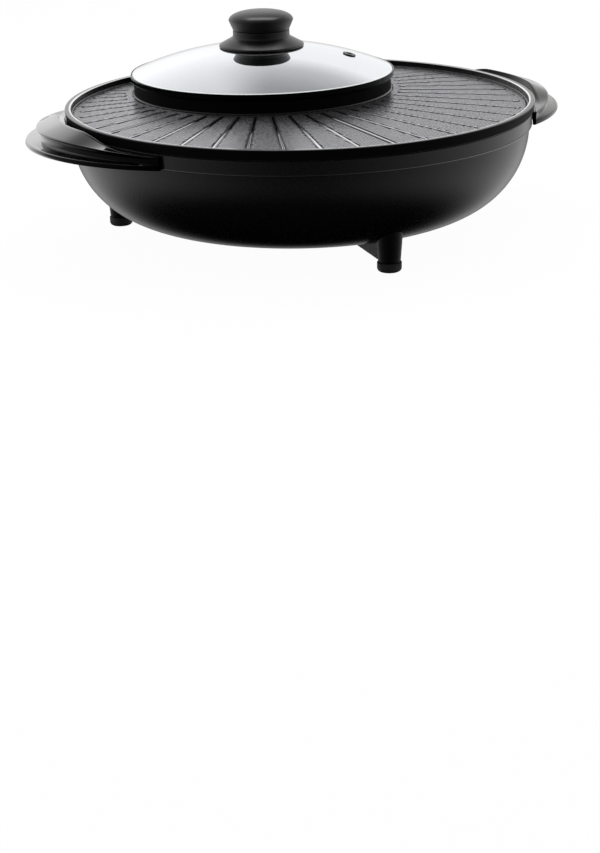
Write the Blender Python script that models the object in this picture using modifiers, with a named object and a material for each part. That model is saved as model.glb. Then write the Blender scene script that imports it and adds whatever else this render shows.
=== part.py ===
"""A hot pot grill combo: a round electric grill plate with a lidded soup pot cast into its rear half.

The plate's axis is Z, the table is z = 0, +X points to the right handle and +Y to the pot.
Lengths are in metres and angles in degrees. Seats, bores and slots take their size from the piece
that they hold and from GAP, the clearance between pieces that touch.
"""

import math

import bmesh
import bpy
from mathutils import Matrix, Vector

MM = 0.001

# Clearances and cutters
GAP = 0.3 * MM
OVERRUN = 4.0 * MM
JOIN_OVERLAP = 0.6 * MM

# Body shell, a deep drawn steel bowl on three feet
BODY_BOTTOM = 17.0 * MM
BODY_HEIGHT = 87.9 * MM
BODY_BAND_HEIGHT = 12.15 * MM
BODY_BAND_INSET = 2.0 * MM
BODY_BAND_DRAFT = 0.4 * MM
BODY_SEAM_STEP = 1.9 * MM
BODY_FLAT_RADIUS = 126.35 * MM
BODY_OPENING_RADIUS = 95.0 * MM
BODY_WALL = 1.5 * MM
BELLY_POWER = 2.05
BELLY_STEPS = 7
ROUND_STEPS = 52

# Cooking plate, one die casting with the collar and the pot
PLATE_RADIUS = 205.0 * MM
RIM_BAND_HEIGHT = 8.8 * MM
RIM_BAND_DRAFT = 1.4 * MM
RIM_WIDTH = 5.5 * MM
RIM_EDGE = 1.0 * MM
TRAY_DEPTH = 5.5 * MM
TRAY_WALL = 4.0 * MM
LOCATING_PLAY = 0.8 * MM
CRESCENT_TIP_RADIUS = 9.0 * MM
CRESCENT_STEPS = 44
CRESCENT_TIP_STEPS = 6

# Pot and its collar
COLLAR_REAR_INSET = 5.3 * MM
POT_DEPTH = 64.2 * MM
POT_CORNER_RUN = 5.5 * MM
POT_CORNER_RISE = 4.0 * MM
POT_FLOOR_RADIUS = 88.0 * MM
POT_WALL = 3.5 * MM
POT_FLOOR_WALL = 5.0 * MM
COLLAR_RADIUS = 117.7 * MM
COLLAR_HEIGHT = 6.2 * MM
COLLAR_WALL = 3.0 * MM
COLLAR_EDGE = 0.7 * MM
COLLAR_ROOT = 1.5 * MM
POT_STEPS = 40

# Ribs on the grill, radial about the pot
RIB_COUNT = 37
RIB_PITCH = 6.5
RIB_WIDTH = 3.2 * MM
RIB_TOP_WIDTH = 2.0 * MM
RIB_HEIGHT = 0.8 * MM
RIB_COLLAR_GAP = 9.0 * MM
RIB_RIM_GAP = 8.3 * MM

# Screws
SCREW_RADIUS = 1.8 * MM
SCREW_HEAD_RADIUS = 3.6 * MM
SCREW_HEAD_HEIGHT = 2.2 * MM
SCREW_TIP = 1.6 * MM
SCREW_CROWN_SHARE = 0.6
SCREW_STEPS = 8

# Feet and their rubber pads
FOOT_CIRCLE = 165.0 * MM
FOOT_TURN = 1.2
FOOT_ANGLES = (270.0 + FOOT_TURN, 30.0 + FOOT_TURN, 150.0 + FOOT_TURN)
FOOT_RADIUS = 11.4 * MM
FOOT_BOTTOM_RADIUS = 9.3 * MM
FOOT_SPIGOT_RADIUS = 5.0 * MM
FOOT_SPIGOT_LENGTH = 4.0 * MM
FOOT_SCREW_INSET = 2.5 * MM
FOOT_SCREW_LENGTH = 10.0 * MM
FOOT_STEPS = 12
WEB_THICKNESS = 14.0 * MM
WEB_INNER_RADIUS = 111.0 * MM
WEB_TOE = 5.0 * MM
PAD_RADIUS = 10.2 * MM
PAD_HEIGHT = 8.0 * MM
PAD_EDGE = 0.6 * MM
PAD_CORNER = 3.0 * MM
PAD_CORNER_STEPS = 3

# Bottom cover
COVER_OVERLAP = 9.0 * MM
COVER_WALL = 1.5 * MM
COVER_DISH = 4.0 * MM
COVER_SCREW_ANGLES = (90.0, 210.0, 330.0)
COVER_SCREW_LENGTH = 8.0 * MM
VENT_COUNT = 12
VENT_CIRCLE = 58.0 * MM
VENT_LENGTH = 30.0 * MM
VENT_WIDTH = 5.0 * MM

# Posts that carry the plate, with a long screw through each
POST_CIRCLE = 117.0 * MM
POST_ANGLES = (200.0, 245.0, 295.0, 340.0)
POST_RADIUS = 5.0 * MM
POST_SHOULDER_RADIUS = 7.0 * MM
POST_BOSS_RADIUS = 7.0 * MM
POST_BOSS_HEIGHT = 8.0 * MM
POST_STEPS = 12
BOSS_STEPS = 10

# Heat reflector
REFLECTOR_INSET = 19.0 * MM
REFLECTOR_DROP = 18.5 * MM
REFLECTOR_WALL = 0.8 * MM
REFLECTOR_POT_GAP = 4.0 * MM

# Heating elements and their clamps
ELEMENT_RADIUS = 4.0 * MM
ELEMENT_RESOLUTION = 1
GRILL_LEG_INSET = 27.0 * MM
GRILL_LEG_SPACING = 28.0 * MM
GRILL_START_GAP = 30.3 * MM
GRILL_BEND_GAP = 38.6 * MM
GRILL_STEP = 12.0
GRILL_BEND_STEPS = 8
POT_RING_RADIUS = 60.0 * MM
POT_RING_OPENING = 12.0
POT_RING_STEPS = 22
POT_TERMINAL = 12.0 * MM
CLAMP_ANGLES = (222.0, 270.0, 318.0)
CLAMP_WIDTH = 12.0 * MM
CLAMP_WALL = 2.0 * MM
CLAMP_LIP = 3.0 * MM
CLAMP_BOSS_RADIUS = 5.5 * MM
CLAMP_SCREW_LENGTH = 8.5 * MM

# Controller socket in the right rear of the belly
SOCKET_ANGLE = 45.0
SOCKET_DROP = 27.75 * MM
SOCKET_INSET = 3.5 * MM
SOCKET_CAVITY_WIDTH = 40.0 * MM
SOCKET_CAVITY_HEIGHT = 22.0 * MM
SOCKET_CAVITY_DEPTH = 16.0 * MM
SOCKET_WALL = 2.0 * MM
SOCKET_BACK = 3.0 * MM
SOCKET_BEZEL_WIDTH = 64.0 * MM
SOCKET_BEZEL_HEIGHT = 30.0 * MM
SOCKET_BEZEL_DEPTH = 18.0 * MM
SOCKET_SCREW_OFFSET = 27.0 * MM
SOCKET_SCREW_LENGTH = 14.0 * MM
SOCKET_SCREW_RECESS = 2.8 * MM
PIN_OFFSET = 14.0 * MM
PIN_RADIUS = 2.4 * MM
PIN_SETBACK = 2.0 * MM
PIN_TAIL = 8.0 * MM
SLEEVE_RADIUS = 4.4 * MM
SLEEVE_BORE = 3.2 * MM
SLEEVE_END = 1.5 * MM

# Leads from the socket pins to the elements
LEAD_RADIUS = 1.4 * MM
LEAD_SHELL_GAP = 3.5 * MM
LEAD_BEND = 12.0 * MM
LEAD_RISE_ANGLE = 12.0
LEAD_MIDDLE_SHARE = 0.4
LEAD_SMOOTHING = 2
LEAD_RESOLUTION = 1

# Handles, phenolic, one on each side
HANDLE_HALF_ANGLE = 33.0
HANDLE_STEP = 5.5
HANDLE_REACH = 38.5 * MM
HANDLE_EDGE_REACH = 29.5 * MM
HANDLE_RIDGE_REACH = 10.0 * MM
HANDLE_END_REACH = 1.0 * MM
HANDLE_RIM_GAP = 0.4 * MM
HANDLE_RIDGE_RISE = 10.4 * MM
HANDLE_EDGE_RISE = 5.0 * MM
HANDLE_DEPTH = 11.7 * MM
HANDLE_LIP = 4.0 * MM
HANDLE_LIP_BOW = 1.5 * MM
HANDLE_STEP_DOWN = 0.7 * MM
HANDLE_FLAT_ANGLE = 9.0
HANDLE_FALL_ANGLE = 24.0
HANDLE_RIDGE_POWER = 1.5
HANDLE_EDGE_POWER = 1.45
HANDLE_LIP_POWER = 1.8
HANDLE_BOW_POWER = 2.0
HANDLE_VALLEY_SHARE = 0.35
HANDLE_VALLEY_WIDTH_SHARE = 0.5
HANDLE_RIDGE_SHARE = 0.85
HANDLE_EDGE_SHARE = 0.97
HANDLE_HOLLOW_SHARE = 0.86
HANDLE_LIP_ROOT_SHARE = 0.88
HANDLE_LIP_EDGE_SHARE = 0.975
HANDLE_WAIST_SHARE = 0.33
HANDLE_LOW_WAIST_SHARE = 0.75
POCKET_HALF_ANGLE = 15.0
POCKET_DEPTH = 9.0 * MM
POCKET_WALL = 4.5 * MM
HANDLE_SCREW_ANGLE = 20.0
HANDLE_SCREW_DROP = 6.0 * MM
HANDLE_SCREW_LENGTH = 12.0 * MM

# Glass lid and its steel band
LID_OVERHANG = 2.6 * MM
LID_BAND_HEIGHT = 5.8 * MM
LID_SHEET = 0.9 * MM
LID_SKIRT_DEPTH = 3.2 * MM
LID_PLAY = 0.8 * MM
DOME_RISE = 23.7 * MM
GLASS_WALL = 4.0 * MM
DOME_STEPS = 5
LID_ROUND_STEPS = 36
VENT_EYELET_CIRCLE = 80.0 * MM
VENT_EYELET_ANGLE = -30.0
EYELET_BORE = 3.0 * MM
EYELET_WALL = 0.8 * MM
EYELET_FLANGE = 6.0 * MM
EYELET_SHEET = 0.7 * MM

# Knob on the lid
KNOB_GUARD_RADIUS = 38.6 * MM
KNOB_GUARD_EDGE = 1.5 * MM
KNOB_GUARD_RISE = 6.7 * MM
KNOB_NECK_RADIUS = 25.7 * MM
KNOB_NECK_HEIGHT = 5.8 * MM
KNOB_HUB_RADIUS = 12.0 * MM
KNOB_CAP_FOOT_RADIUS = 25.5 * MM
KNOB_CAP_RADIUS = 29.3 * MM
KNOB_CAP_BELLY = 8.5 * MM
KNOB_CAP_HEIGHT = 17.2 * MM
KNOB_CAP_POWER = 2.5
KNOB_CAP_STEPS = 6
KNOB_STEPS = 20
KNOB_SCREW_RADIUS = 2.5 * MM
KNOB_SCREW_DEPTH = 8.0 * MM
WASHER_RADIUS = 26.0 * MM
WASHER_DEPTH = 7.5 * MM
WASHER_WALL = 1.2 * MM
GASKET_RADIUS = 8.0 * MM

# Heights and radii that follow
SHELL_TOP = BODY_BOTTOM + BODY_HEIGHT
SEAM_Z = SHELL_TOP - BODY_BAND_HEIGHT
BAND_TOP_RADIUS = PLATE_RADIUS - BODY_BAND_INSET
BAND_RADIUS = BAND_TOP_RADIUS - BODY_BAND_DRAFT
BELLY_RADIUS = BAND_RADIUS - BODY_SEAM_STEP
SHELL_FLOOR = BODY_BOTTOM + BODY_WALL
RIM_BOTTOM = SHELL_TOP + GAP
RIM_TOP = RIM_BOTTOM + RIM_BAND_HEIGHT
TRAY_FLOOR = RIM_TOP - TRAY_DEPTH
TRAY_UNDER = TRAY_FLOOR - TRAY_WALL
TRAY_RADIUS = PLATE_RADIUS - RIM_WIDTH
POT_OFFSET = PLATE_RADIUS - COLLAR_REAR_INSET - COLLAR_RADIUS
POT_CORNER_RADIUS = POT_FLOOR_RADIUS + POT_CORNER_RUN
COLLAR_TOP = RIM_TOP + COLLAR_HEIGHT
POT_FLOOR = COLLAR_TOP - POT_DEPTH
POT_UNDER = POT_FLOOR - POT_FLOOR_WALL
POT_MOUTH_RADIUS = COLLAR_RADIUS - COLLAR_WALL
COVER_RADIUS = BODY_OPENING_RADIUS + COVER_OVERLAP
REFLECTOR_RADIUS = PLATE_RADIUS - REFLECTOR_INSET
REFLECTOR_Z = TRAY_UNDER - REFLECTOR_DROP
GRILL_OUTER_LEG = PLATE_RADIUS - GRILL_LEG_INSET
GRILL_INNER_LEG = GRILL_OUTER_LEG - GRILL_LEG_SPACING
ELEMENT_Z = TRAY_UNDER - GAP - ELEMENT_RADIUS
CLAMP_TOP = ELEMENT_Z - ELEMENT_RADIUS - GAP
POT_ELEMENT_Z = POT_UNDER - GAP - ELEMENT_RADIUS
POT_CLAMP_TOP = POT_ELEMENT_Z - ELEMENT_RADIUS - GAP
LID_BOTTOM = COLLAR_TOP + GAP
LID_BAND_TOP = LID_BOTTOM + LID_BAND_HEIGHT
GLASS_EDGE_RADIUS = COLLAR_RADIUS + LID_OVERHANG - LID_SHEET - GAP
DOME_TOP = LID_BAND_TOP + DOME_RISE
DOME_RADIUS = (GLASS_EDGE_RADIUS**2 + DOME_RISE**2) / (2 * DOME_RISE)
DOME_UNDER = DOME_TOP - GLASS_WALL
GUARD_TOP = DOME_TOP + KNOB_GUARD_RISE
NECK_TOP = GUARD_TOP + KNOB_NECK_HEIGHT
SOCKET_FACE = PLATE_RADIUS - SOCKET_INSET
SOCKET_HEIGHT = SEAM_Z - SOCKET_DROP
SOCKET_FLOOR = SOCKET_FACE - SOCKET_CAVITY_DEPTH
SOCKET_REAR = SOCKET_FLOOR - SOCKET_BACK


def polar(radius, angle, height=0.0):
    """A point at a radius and an angle in degrees about the plate's axis."""
    turn = math.radians(angle)
    return Vector((radius * math.cos(turn), radius * math.sin(turn), height))


def arc(centre, radius, start, end, steps):
    """Points (x, y) along an arc, from one angle to another in degrees."""
    points = []
    for step in range(steps + 1):
        turn = math.radians(start + (end - start) * step / steps)
        points.append((centre[0] + radius * math.cos(turn), centre[1] + radius * math.sin(turn)))
    return points


def belly_point(turn, offset):
    """A point (radius, height) of the belly's outside and its outward normal, moved out by offset."""
    width = BELLY_RADIUS - BODY_FLAT_RADIUS
    depth = SEAM_Z - BODY_BOTTOM
    across = max(math.cos(turn), 0.0) ** (2 / BELLY_POWER)
    down = max(math.sin(turn), 0.0) ** (2 / BELLY_POWER)
    normal = Vector((across ** (BELLY_POWER - 1) / width, -(down ** (BELLY_POWER - 1)) / depth)).normalized()
    point = Vector((BODY_FLAT_RADIUS + width * across, SEAM_Z - depth * down)) + normal * offset
    return point, normal


def belly_outline(offset):
    """The belly's outline from the seam down to the flat bottom, moved out by offset."""
    turns = [math.pi / 2 * step / BELLY_STEPS for step in range(BELLY_STEPS + 1)]
    return [tuple(belly_point(turn, offset)[0]) for turn in turns]


def belly_at_radius(radius):
    """The middle and the outward normal of the straight stretch of the belly's outline at a radius."""
    outline = [Vector(point) for point in belly_outline(0.0)]
    for upper, lower in zip(outline, outline[1:]):
        if lower.x <= radius:
            break
    along = (upper - lower).normalized()
    return (upper + lower) / 2, Vector((along.y, -along.x))


def belly_radius_at(height):
    """The belly's outside radius at a given height."""
    share = min(max((SEAM_Z - height) / (SEAM_Z - BODY_BOTTOM), 0.0), 1.0)
    width = BELLY_RADIUS - BODY_FLAT_RADIUS
    return BODY_FLAT_RADIUS + width * (1 - share**BELLY_POWER) ** (1 / BELLY_POWER)


def pot_radius_at(height):
    """The radius of the pot's cavity at a given height on its sloping wall."""
    bottom = POT_FLOOR + POT_CORNER_RISE
    share = (height - bottom) / (COLLAR_TOP - bottom)
    return POT_CORNER_RADIUS + (POT_MOUTH_RADIUS - POT_CORNER_RADIUS) * share


def pot_hits_ray(angle, height, clearance):
    """How far from the plate's axis a level ray at an angle first stands clear of the pot's outside."""
    reach = pot_radius_at(height) + POT_WALL + clearance
    along = POT_OFFSET * math.sin(math.radians(angle))
    across = POT_OFFSET * math.cos(math.radians(angle))
    return along + math.sqrt(reach**2 - across**2)


def leg_end_angle(clearance):
    """The angle at which the element's inner leg stands clear of the pot's outside by a clearance."""
    reach = pot_radius_at(ELEMENT_Z) + POT_WALL + clearance
    rise = (GRILL_INNER_LEG**2 + POT_OFFSET**2 - reach**2) / (2 * GRILL_INNER_LEG * POT_OFFSET)
    return math.degrees(math.asin(rise))


def dome_height(radius, under=0.0):
    """Height of the glass at a radius from the lid's axis, on its top or under it by a wall."""
    return DOME_TOP - DOME_RADIUS + math.sqrt((DOME_RADIUS - under) ** 2 - radius**2)


for startup_object in list(bpy.data.objects):
    bpy.data.objects.remove(startup_object)

product = bpy.data.collections.new("hot_pot_grill_combo")
helpers = bpy.data.collections.new("cutters")
bpy.context.scene.collection.children.link(product)
bpy.context.scene.collection.children.link(helpers)


def finish(name, colour, roughness, metallic=0.0):
    """A material: linear colour, roughness and metallic value."""
    material = bpy.data.materials.new(name)
    material.use_nodes = True
    shader = material.node_tree.nodes["Principled BSDF"]
    shader.inputs["Base Color"].default_value = (*colour, 1.0)
    shader.inputs["Roughness"].default_value = roughness
    shader.inputs["Metallic"].default_value = metallic
    return material


NONSTICK = finish("nonstick_coating", (0.022, 0.022, 0.024), 0.48)
ENAMEL = finish("satin_black_paint", (0.012, 0.012, 0.013), 0.38)
PHENOLIC = finish("black_phenolic", (0.008, 0.008, 0.009), 0.18)
KNOB_BLACK = finish("satin_phenolic", (0.012, 0.012, 0.013), 0.35)
STEEL = finish("bright_steel", (0.55, 0.55, 0.56), 0.22, 1.0)
BLACK_STEEL = finish("blackened_steel", (0.02, 0.02, 0.022), 0.15, 1.0)
SHEET_STEEL = finish("galvanised_sheet", (0.45, 0.46, 0.47), 0.42, 1.0)
SCREW_STEEL = finish("plated_screw", (0.5, 0.5, 0.48), 0.35, 1.0)
ELEMENT_STEEL = finish("element_sheath", (0.16, 0.15, 0.14), 0.5, 1.0)
BRASS = finish("nickelled_brass", (0.6, 0.55, 0.42), 0.28, 1.0)
GLASS = finish("tempered_glass", (0.85, 0.88, 0.88), 0.03)
RUBBER = finish("black_rubber", (0.02, 0.02, 0.02), 0.8)
SILICONE = finish("silicone", (0.35, 0.35, 0.35), 0.7)
SOCKET_BLACK = finish("socket_bakelite", (0.015, 0.015, 0.015), 0.4)
LEAD_SLEEVE = finish("glass_fibre_sleeve", (0.5, 0.48, 0.42), 0.85)


def axis_empty(name, location):
    """An empty that carries the pieces that are placed about one axis."""
    empty = bpy.data.objects.new(name, None)
    empty.location = location
    product.objects.link(empty)
    return empty


PLATE_AXIS = axis_empty("plate_axis", (0.0, 0.0, 0.0))
POT_AXIS = axis_empty("pot_axis", (0.0, POT_OFFSET, 0.0))
LID_AXIS = axis_empty("lid_axis", (0.0, POT_OFFSET, 0.0))


def place(name, mesh, material=None, parent=None, matrix=None):
    """Links an object for a mesh. With a material it is a piece, without one it is a helper."""
    item = bpy.data.objects.new(name, mesh)
    if material is None:
        helpers.objects.link(item)
        item.hide_render = True
        item.display_type = "WIRE"
    else:
        product.objects.link(item)
        mesh.materials.clear()
        mesh.materials.append(material)
    item.parent = parent
    if matrix is not None:
        item.matrix_local = matrix
    return item


def turned(name, profile, steps, material=None, parent=None, matrix=None):
    """Turns a profile of (radius, height) points, given clockwise, all the way round its Z axis."""
    mesh = bpy.data.meshes.new(name)
    points = [(radius, 0.0, height) for radius, height in profile]
    edges = [(index, index + 1) for index in range(len(points) - 1)]
    if profile[0][0] > 0.0:
        edges.append((len(points) - 1, 0))
    mesh.from_pydata(points, edges, [])
    item = place(name, mesh, material, parent, matrix)
    screw = item.modifiers.new("turn", "SCREW")
    screw.steps = steps
    screw.render_steps = steps
    screw.use_merge_vertices = True
    screw.merge_threshold = 1e-6
    screw.use_smooth_shade = True
    return item


def mesh_object(name, build, material=None, parent=None, matrix=None):
    """An object whose mesh is filled by a function that takes an empty bmesh."""
    shape = bmesh.new()
    build(shape)
    mesh = bpy.data.meshes.new(name)
    shape.to_mesh(mesh)
    shape.free()
    return place(name, mesh, material, parent, matrix)


def box(name, size, centre, material=None, parent=None, matrix=None):
    """A rectangular block, given by its size and centre."""

    def build(shape):
        shaping = Matrix.Translation(centre) @ Matrix.Diagonal((*size, 1.0))
        bmesh.ops.create_cube(shape, size=1.0, matrix=shaping)

    return mesh_object(name, build, material, parent, matrix)


def rods(name, lines, steps, material=None, parent=None, matrix=None):
    """Separate closed rods in one mesh, each from start to end with its radius."""

    def build(shape):
        for start, end, radius in lines:
            along = end - start
            twist = Matrix.Rotation(math.pi / steps / 2, 4, "Z")
            turn = along.to_track_quat("Z", "Y").to_matrix().to_4x4() @ twist
            bmesh.ops.create_cone(
                shape,
                cap_ends=True,
                segments=steps,
                radius1=radius,
                radius2=radius,
                depth=along.length,
                matrix=Matrix.Translation((start + end) / 2) @ turn,
            )

    return mesh_object(name, build, material, parent, matrix)


def outline_plate(name, points, bottom, top, material=None, parent=None, matrix=None):
    """A flat outline of (x, y) points made solid between two heights, from a filled 2D curve."""
    curve = bpy.data.curves.new(name, "CURVE")
    curve.dimensions = "2D"
    curve.fill_mode = "BOTH"
    curve.extrude = (top - bottom) / 2
    spline = curve.splines.new("POLY")
    spline.points.add(len(points) - 1)
    for point, (x, y) in zip(spline.points, points):
        point.co = (x, y, 0.0, 1.0)
    spline.use_cyclic_u = True
    sheet = bpy.data.objects.new(name + "_curve", curve)
    helpers.objects.link(sheet)
    bpy.context.view_layer.update()
    mesh = bpy.data.meshes.new_from_object(sheet.evaluated_get(bpy.context.evaluated_depsgraph_get()))
    bpy.data.objects.remove(sheet)
    shape = bmesh.new()
    shape.from_mesh(mesh)
    bmesh.ops.remove_doubles(shape, verts=shape.verts, dist=1e-6)
    bmesh.ops.translate(shape, verts=shape.verts, vec=(0.0, 0.0, (top + bottom) / 2))
    bmesh.ops.recalc_face_normals(shape, faces=shape.faces)
    shape.to_mesh(mesh)
    shape.free()
    return place(name, mesh, material, parent, matrix)


def tube(name, points, radius, resolution, material, parent=None):
    """A round bar along a line of points, with filled ends."""
    curve = bpy.data.curves.new(name, "CURVE")
    curve.dimensions = "3D"
    curve.bevel_depth = radius
    curve.bevel_resolution = resolution
    curve.use_fill_caps = True
    spline = curve.splines.new("POLY")
    spline.points.add(len(points) - 1)
    for point, co in zip(spline.points, points):
        point.co = (*co, 1.0)
    item = bpy.data.objects.new(name, curve)
    curve.materials.append(material)
    product.objects.link(item)
    item.parent = parent
    return item


def loft(name, sections, material=None, parent=None, matrix=None):
    """A solid skin over sections with as many points each, closed by its first and last section."""

    def build(shape):
        rings = [[shape.verts.new(point) for point in section] for section in sections]
        shape.faces.new(rings[0])
        shape.faces.new(rings[-1])
        for ring, following in zip(rings, rings[1:]):
            for index in range(len(ring)):
                after = (index + 1) % len(ring)
                shape.faces.new((ring[index], ring[after], following[after], following[index]))
        bmesh.ops.recalc_face_normals(shape, faces=shape.faces)

    return mesh_object(name, build, material, parent, matrix)


def combine(target, other, operation):
    """Cuts a helper from a piece, or joins it to the piece."""
    modifier = target.modifiers.new(other.name, "BOOLEAN")
    modifier.operation = operation
    modifier.solver = "EXACT"
    modifier.object = other


def cut(target, other):
    combine(target, other, "DIFFERENCE")


def join(target, other):
    combine(target, other, "UNION")


def settle(item):
    """Turns a piece with its modifiers into a plain mesh, so that copies can share it."""
    bpy.context.view_layer.update()
    mesh = bpy.data.meshes.new_from_object(item.evaluated_get(bpy.context.evaluated_depsgraph_get()))
    item.modifiers.clear()
    item.data = mesh
    return mesh


def aim(seat, direction):
    """A placement at seat whose -Z axis points along direction."""
    return Matrix.Translation(seat) @ direction.to_track_quat("-Z", "Y").to_matrix().to_4x4()


def about_z(angle):
    return Matrix.Rotation(math.radians(angle), 4, "Z")


def screw(name, seat, direction, length, radius=SCREW_RADIUS, head=SCREW_HEAD_RADIUS, parent=PLATE_AXIS):
    """A pan head screw: its head's underside is at seat, and its shank points along direction."""
    profile = [
        (0.0, SCREW_HEAD_HEIGHT),
        (head * SCREW_CROWN_SHARE, SCREW_HEAD_HEIGHT),
        (head, 0.0),
        (radius, 0.0),
        (radius, SCREW_TIP - length),
        (0.0, -length),
    ]
    return turned(name, profile, SCREW_STEPS, SCREW_STEEL, parent, aim(seat, direction))


def screw_line(seat, direction, length, radius=SCREW_RADIUS):
    """The rod that clears a screw: it starts before the screw's seat and ends past its tip."""
    return (seat - direction * OVERRUN, seat + direction * (length + GAP), radius + GAP)


UP = Vector((0.0, 0.0, 1.0))
DOWN = -UP


# Where the screws go: each place is shared by the screw and by the pieces that it holds
def outward(angle):
    return polar(1.0, angle)


foot_seats = []
for angle in FOOT_ANGLES:
    seat, normal = belly_at_radius(FOOT_CIRCLE - FOOT_SCREW_INSET)
    inner = seat - normal * (BODY_WALL + GAP)
    direction = outward(angle) * normal.x + UP * normal.y
    foot_seats.append((polar(inner.x, angle, inner.y), direction))

handle_seats = []
band_share = (SHELL_TOP - HANDLE_SCREW_DROP - SEAM_Z) / BODY_BAND_HEIGHT
for side in (0.0, 180.0):
    for offset in (-HANDLE_SCREW_ANGLE, HANDLE_SCREW_ANGLE):
        radius = BAND_RADIUS + BODY_BAND_DRAFT * band_share - BODY_WALL
        inner_radius = radius * math.cos(math.pi / ROUND_STEPS) - GAP
        seat = polar(inner_radius, side + offset, SHELL_TOP - HANDLE_SCREW_DROP)
        handle_seats.append((seat, outward(side + offset)))

post_seats = [(polar(POST_CIRCLE, angle, BODY_BOTTOM - GAP), UP) for angle in POST_ANGLES]
post_screw_length = TRAY_UNDER - BODY_BOTTOM - GAP
cover_seats = []
for angle in COVER_SCREW_ANGLES:
    seat = polar(BODY_OPENING_RADIUS + COVER_OVERLAP / 2, angle, BODY_BOTTOM - GAP - COVER_WALL - GAP)
    cover_seats.append((seat, UP))

clamp_circle = GRILL_OUTER_LEG - GRILL_LEG_SPACING / 2
clamp_seats = [(polar(clamp_circle, angle, CLAMP_TOP - CLAMP_WALL - GAP), UP) for angle in CLAMP_ANGLES]
pot_clamp_seat = (Vector((0.0, 0.0, POT_CLAMP_TOP - CLAMP_WALL - GAP)), UP)

socket_out = outward(SOCKET_ANGLE)
socket_side = outward(SOCKET_ANGLE + 90.0)
socket_turn = about_z(SOCKET_ANGLE)
socket_seats = []
for side in (-1.0, 1.0):
    seat_depth = SOCKET_FACE - SOCKET_SCREW_RECESS + GAP
    seat = socket_out * seat_depth + socket_side * SOCKET_SCREW_OFFSET * side + UP * SOCKET_HEIGHT
    socket_seats.append((seat, -socket_out))


# Cooking plate: a disc, less the crescent tray, joined with the pot and the ribs
plate_profile = [
    (0.0, RIM_TOP),
    (PLATE_RADIUS - RIM_EDGE, RIM_TOP),
    (PLATE_RADIUS, RIM_TOP - RIM_EDGE),
    (PLATE_RADIUS - RIM_BAND_DRAFT, RIM_BOTTOM),
    (BAND_TOP_RADIUS - BODY_WALL - LOCATING_PLAY, RIM_BOTTOM),
    (BAND_TOP_RADIUS - BODY_WALL - LOCATING_PLAY, TRAY_UNDER),
    (0.0, TRAY_UNDER),
]
grill_pan = turned("grill_pan", plate_profile, ROUND_STEPS, NONSTICK, PLATE_AXIS)

tip_reach = TRAY_RADIUS - CRESCENT_TIP_RADIUS
tip_from_pot = COLLAR_RADIUS + CRESCENT_TIP_RADIUS
tip_y = (tip_reach**2 - tip_from_pot**2 + POT_OFFSET**2) / (2 * POT_OFFSET)
tip_x = math.sqrt(tip_reach**2 - tip_y**2)
tip_angle = math.degrees(math.atan2(tip_y, tip_x))
pot_tip_angle = math.degrees(math.atan2(tip_y - POT_OFFSET, tip_x))
inside_collar = COLLAR_RADIUS - COLLAR_WALL / 2
crescent = (
    arc((0.0, 0.0), TRAY_RADIUS, tip_angle, -180.0 - tip_angle, CRESCENT_STEPS)
    + arc((-tip_x, tip_y), CRESCENT_TIP_RADIUS, 180.0 - tip_angle, -pot_tip_angle, CRESCENT_TIP_STEPS)[1:]
    + arc((0.0, POT_OFFSET), inside_collar, 180.0 - pot_tip_angle, 360.0 + pot_tip_angle, POT_STEPS)
    + arc((tip_x, tip_y), CRESCENT_TIP_RADIUS, 180.0 + pot_tip_angle, tip_angle, CRESCENT_TIP_STEPS)[:-1]
)
cut(grill_pan, outline_plate("tray_recess", crescent, TRAY_FLOOR, RIM_TOP + OVERRUN))

pot_bottom_slope = POT_FLOOR + POT_CORNER_RISE
pot_profile = [
    (0.0, COLLAR_TOP),
    (COLLAR_RADIUS - COLLAR_EDGE, COLLAR_TOP),
    (COLLAR_RADIUS, COLLAR_TOP - COLLAR_EDGE),
    (COLLAR_RADIUS, TRAY_UNDER - COLLAR_ROOT),
    (pot_radius_at(TRAY_UNDER - COLLAR_ROOT) + POT_WALL, TRAY_UNDER - COLLAR_ROOT - COLLAR_EDGE),
    (POT_CORNER_RADIUS + POT_WALL, pot_bottom_slope - POT_FLOOR_WALL),
    (POT_FLOOR_RADIUS + POT_WALL, POT_UNDER),
    (0.0, POT_UNDER),
]
join(grill_pan, turned("pot_outside", pot_profile, POT_STEPS, None, POT_AXIS))

cavity_profile = [
    (0.0, COLLAR_TOP + OVERRUN),
    (POT_MOUTH_RADIUS + COLLAR_EDGE, COLLAR_TOP + OVERRUN),
    (POT_MOUTH_RADIUS + COLLAR_EDGE, COLLAR_TOP),
    (pot_radius_at(COLLAR_TOP - COLLAR_EDGE), COLLAR_TOP - COLLAR_EDGE),
    (POT_CORNER_RADIUS, pot_bottom_slope),
    (POT_FLOOR_RADIUS, POT_FLOOR),
    (0.0, POT_FLOOR),
]
cut(grill_pan, turned("pot_cavity", cavity_profile, POT_STEPS, None, POT_AXIS))


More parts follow.
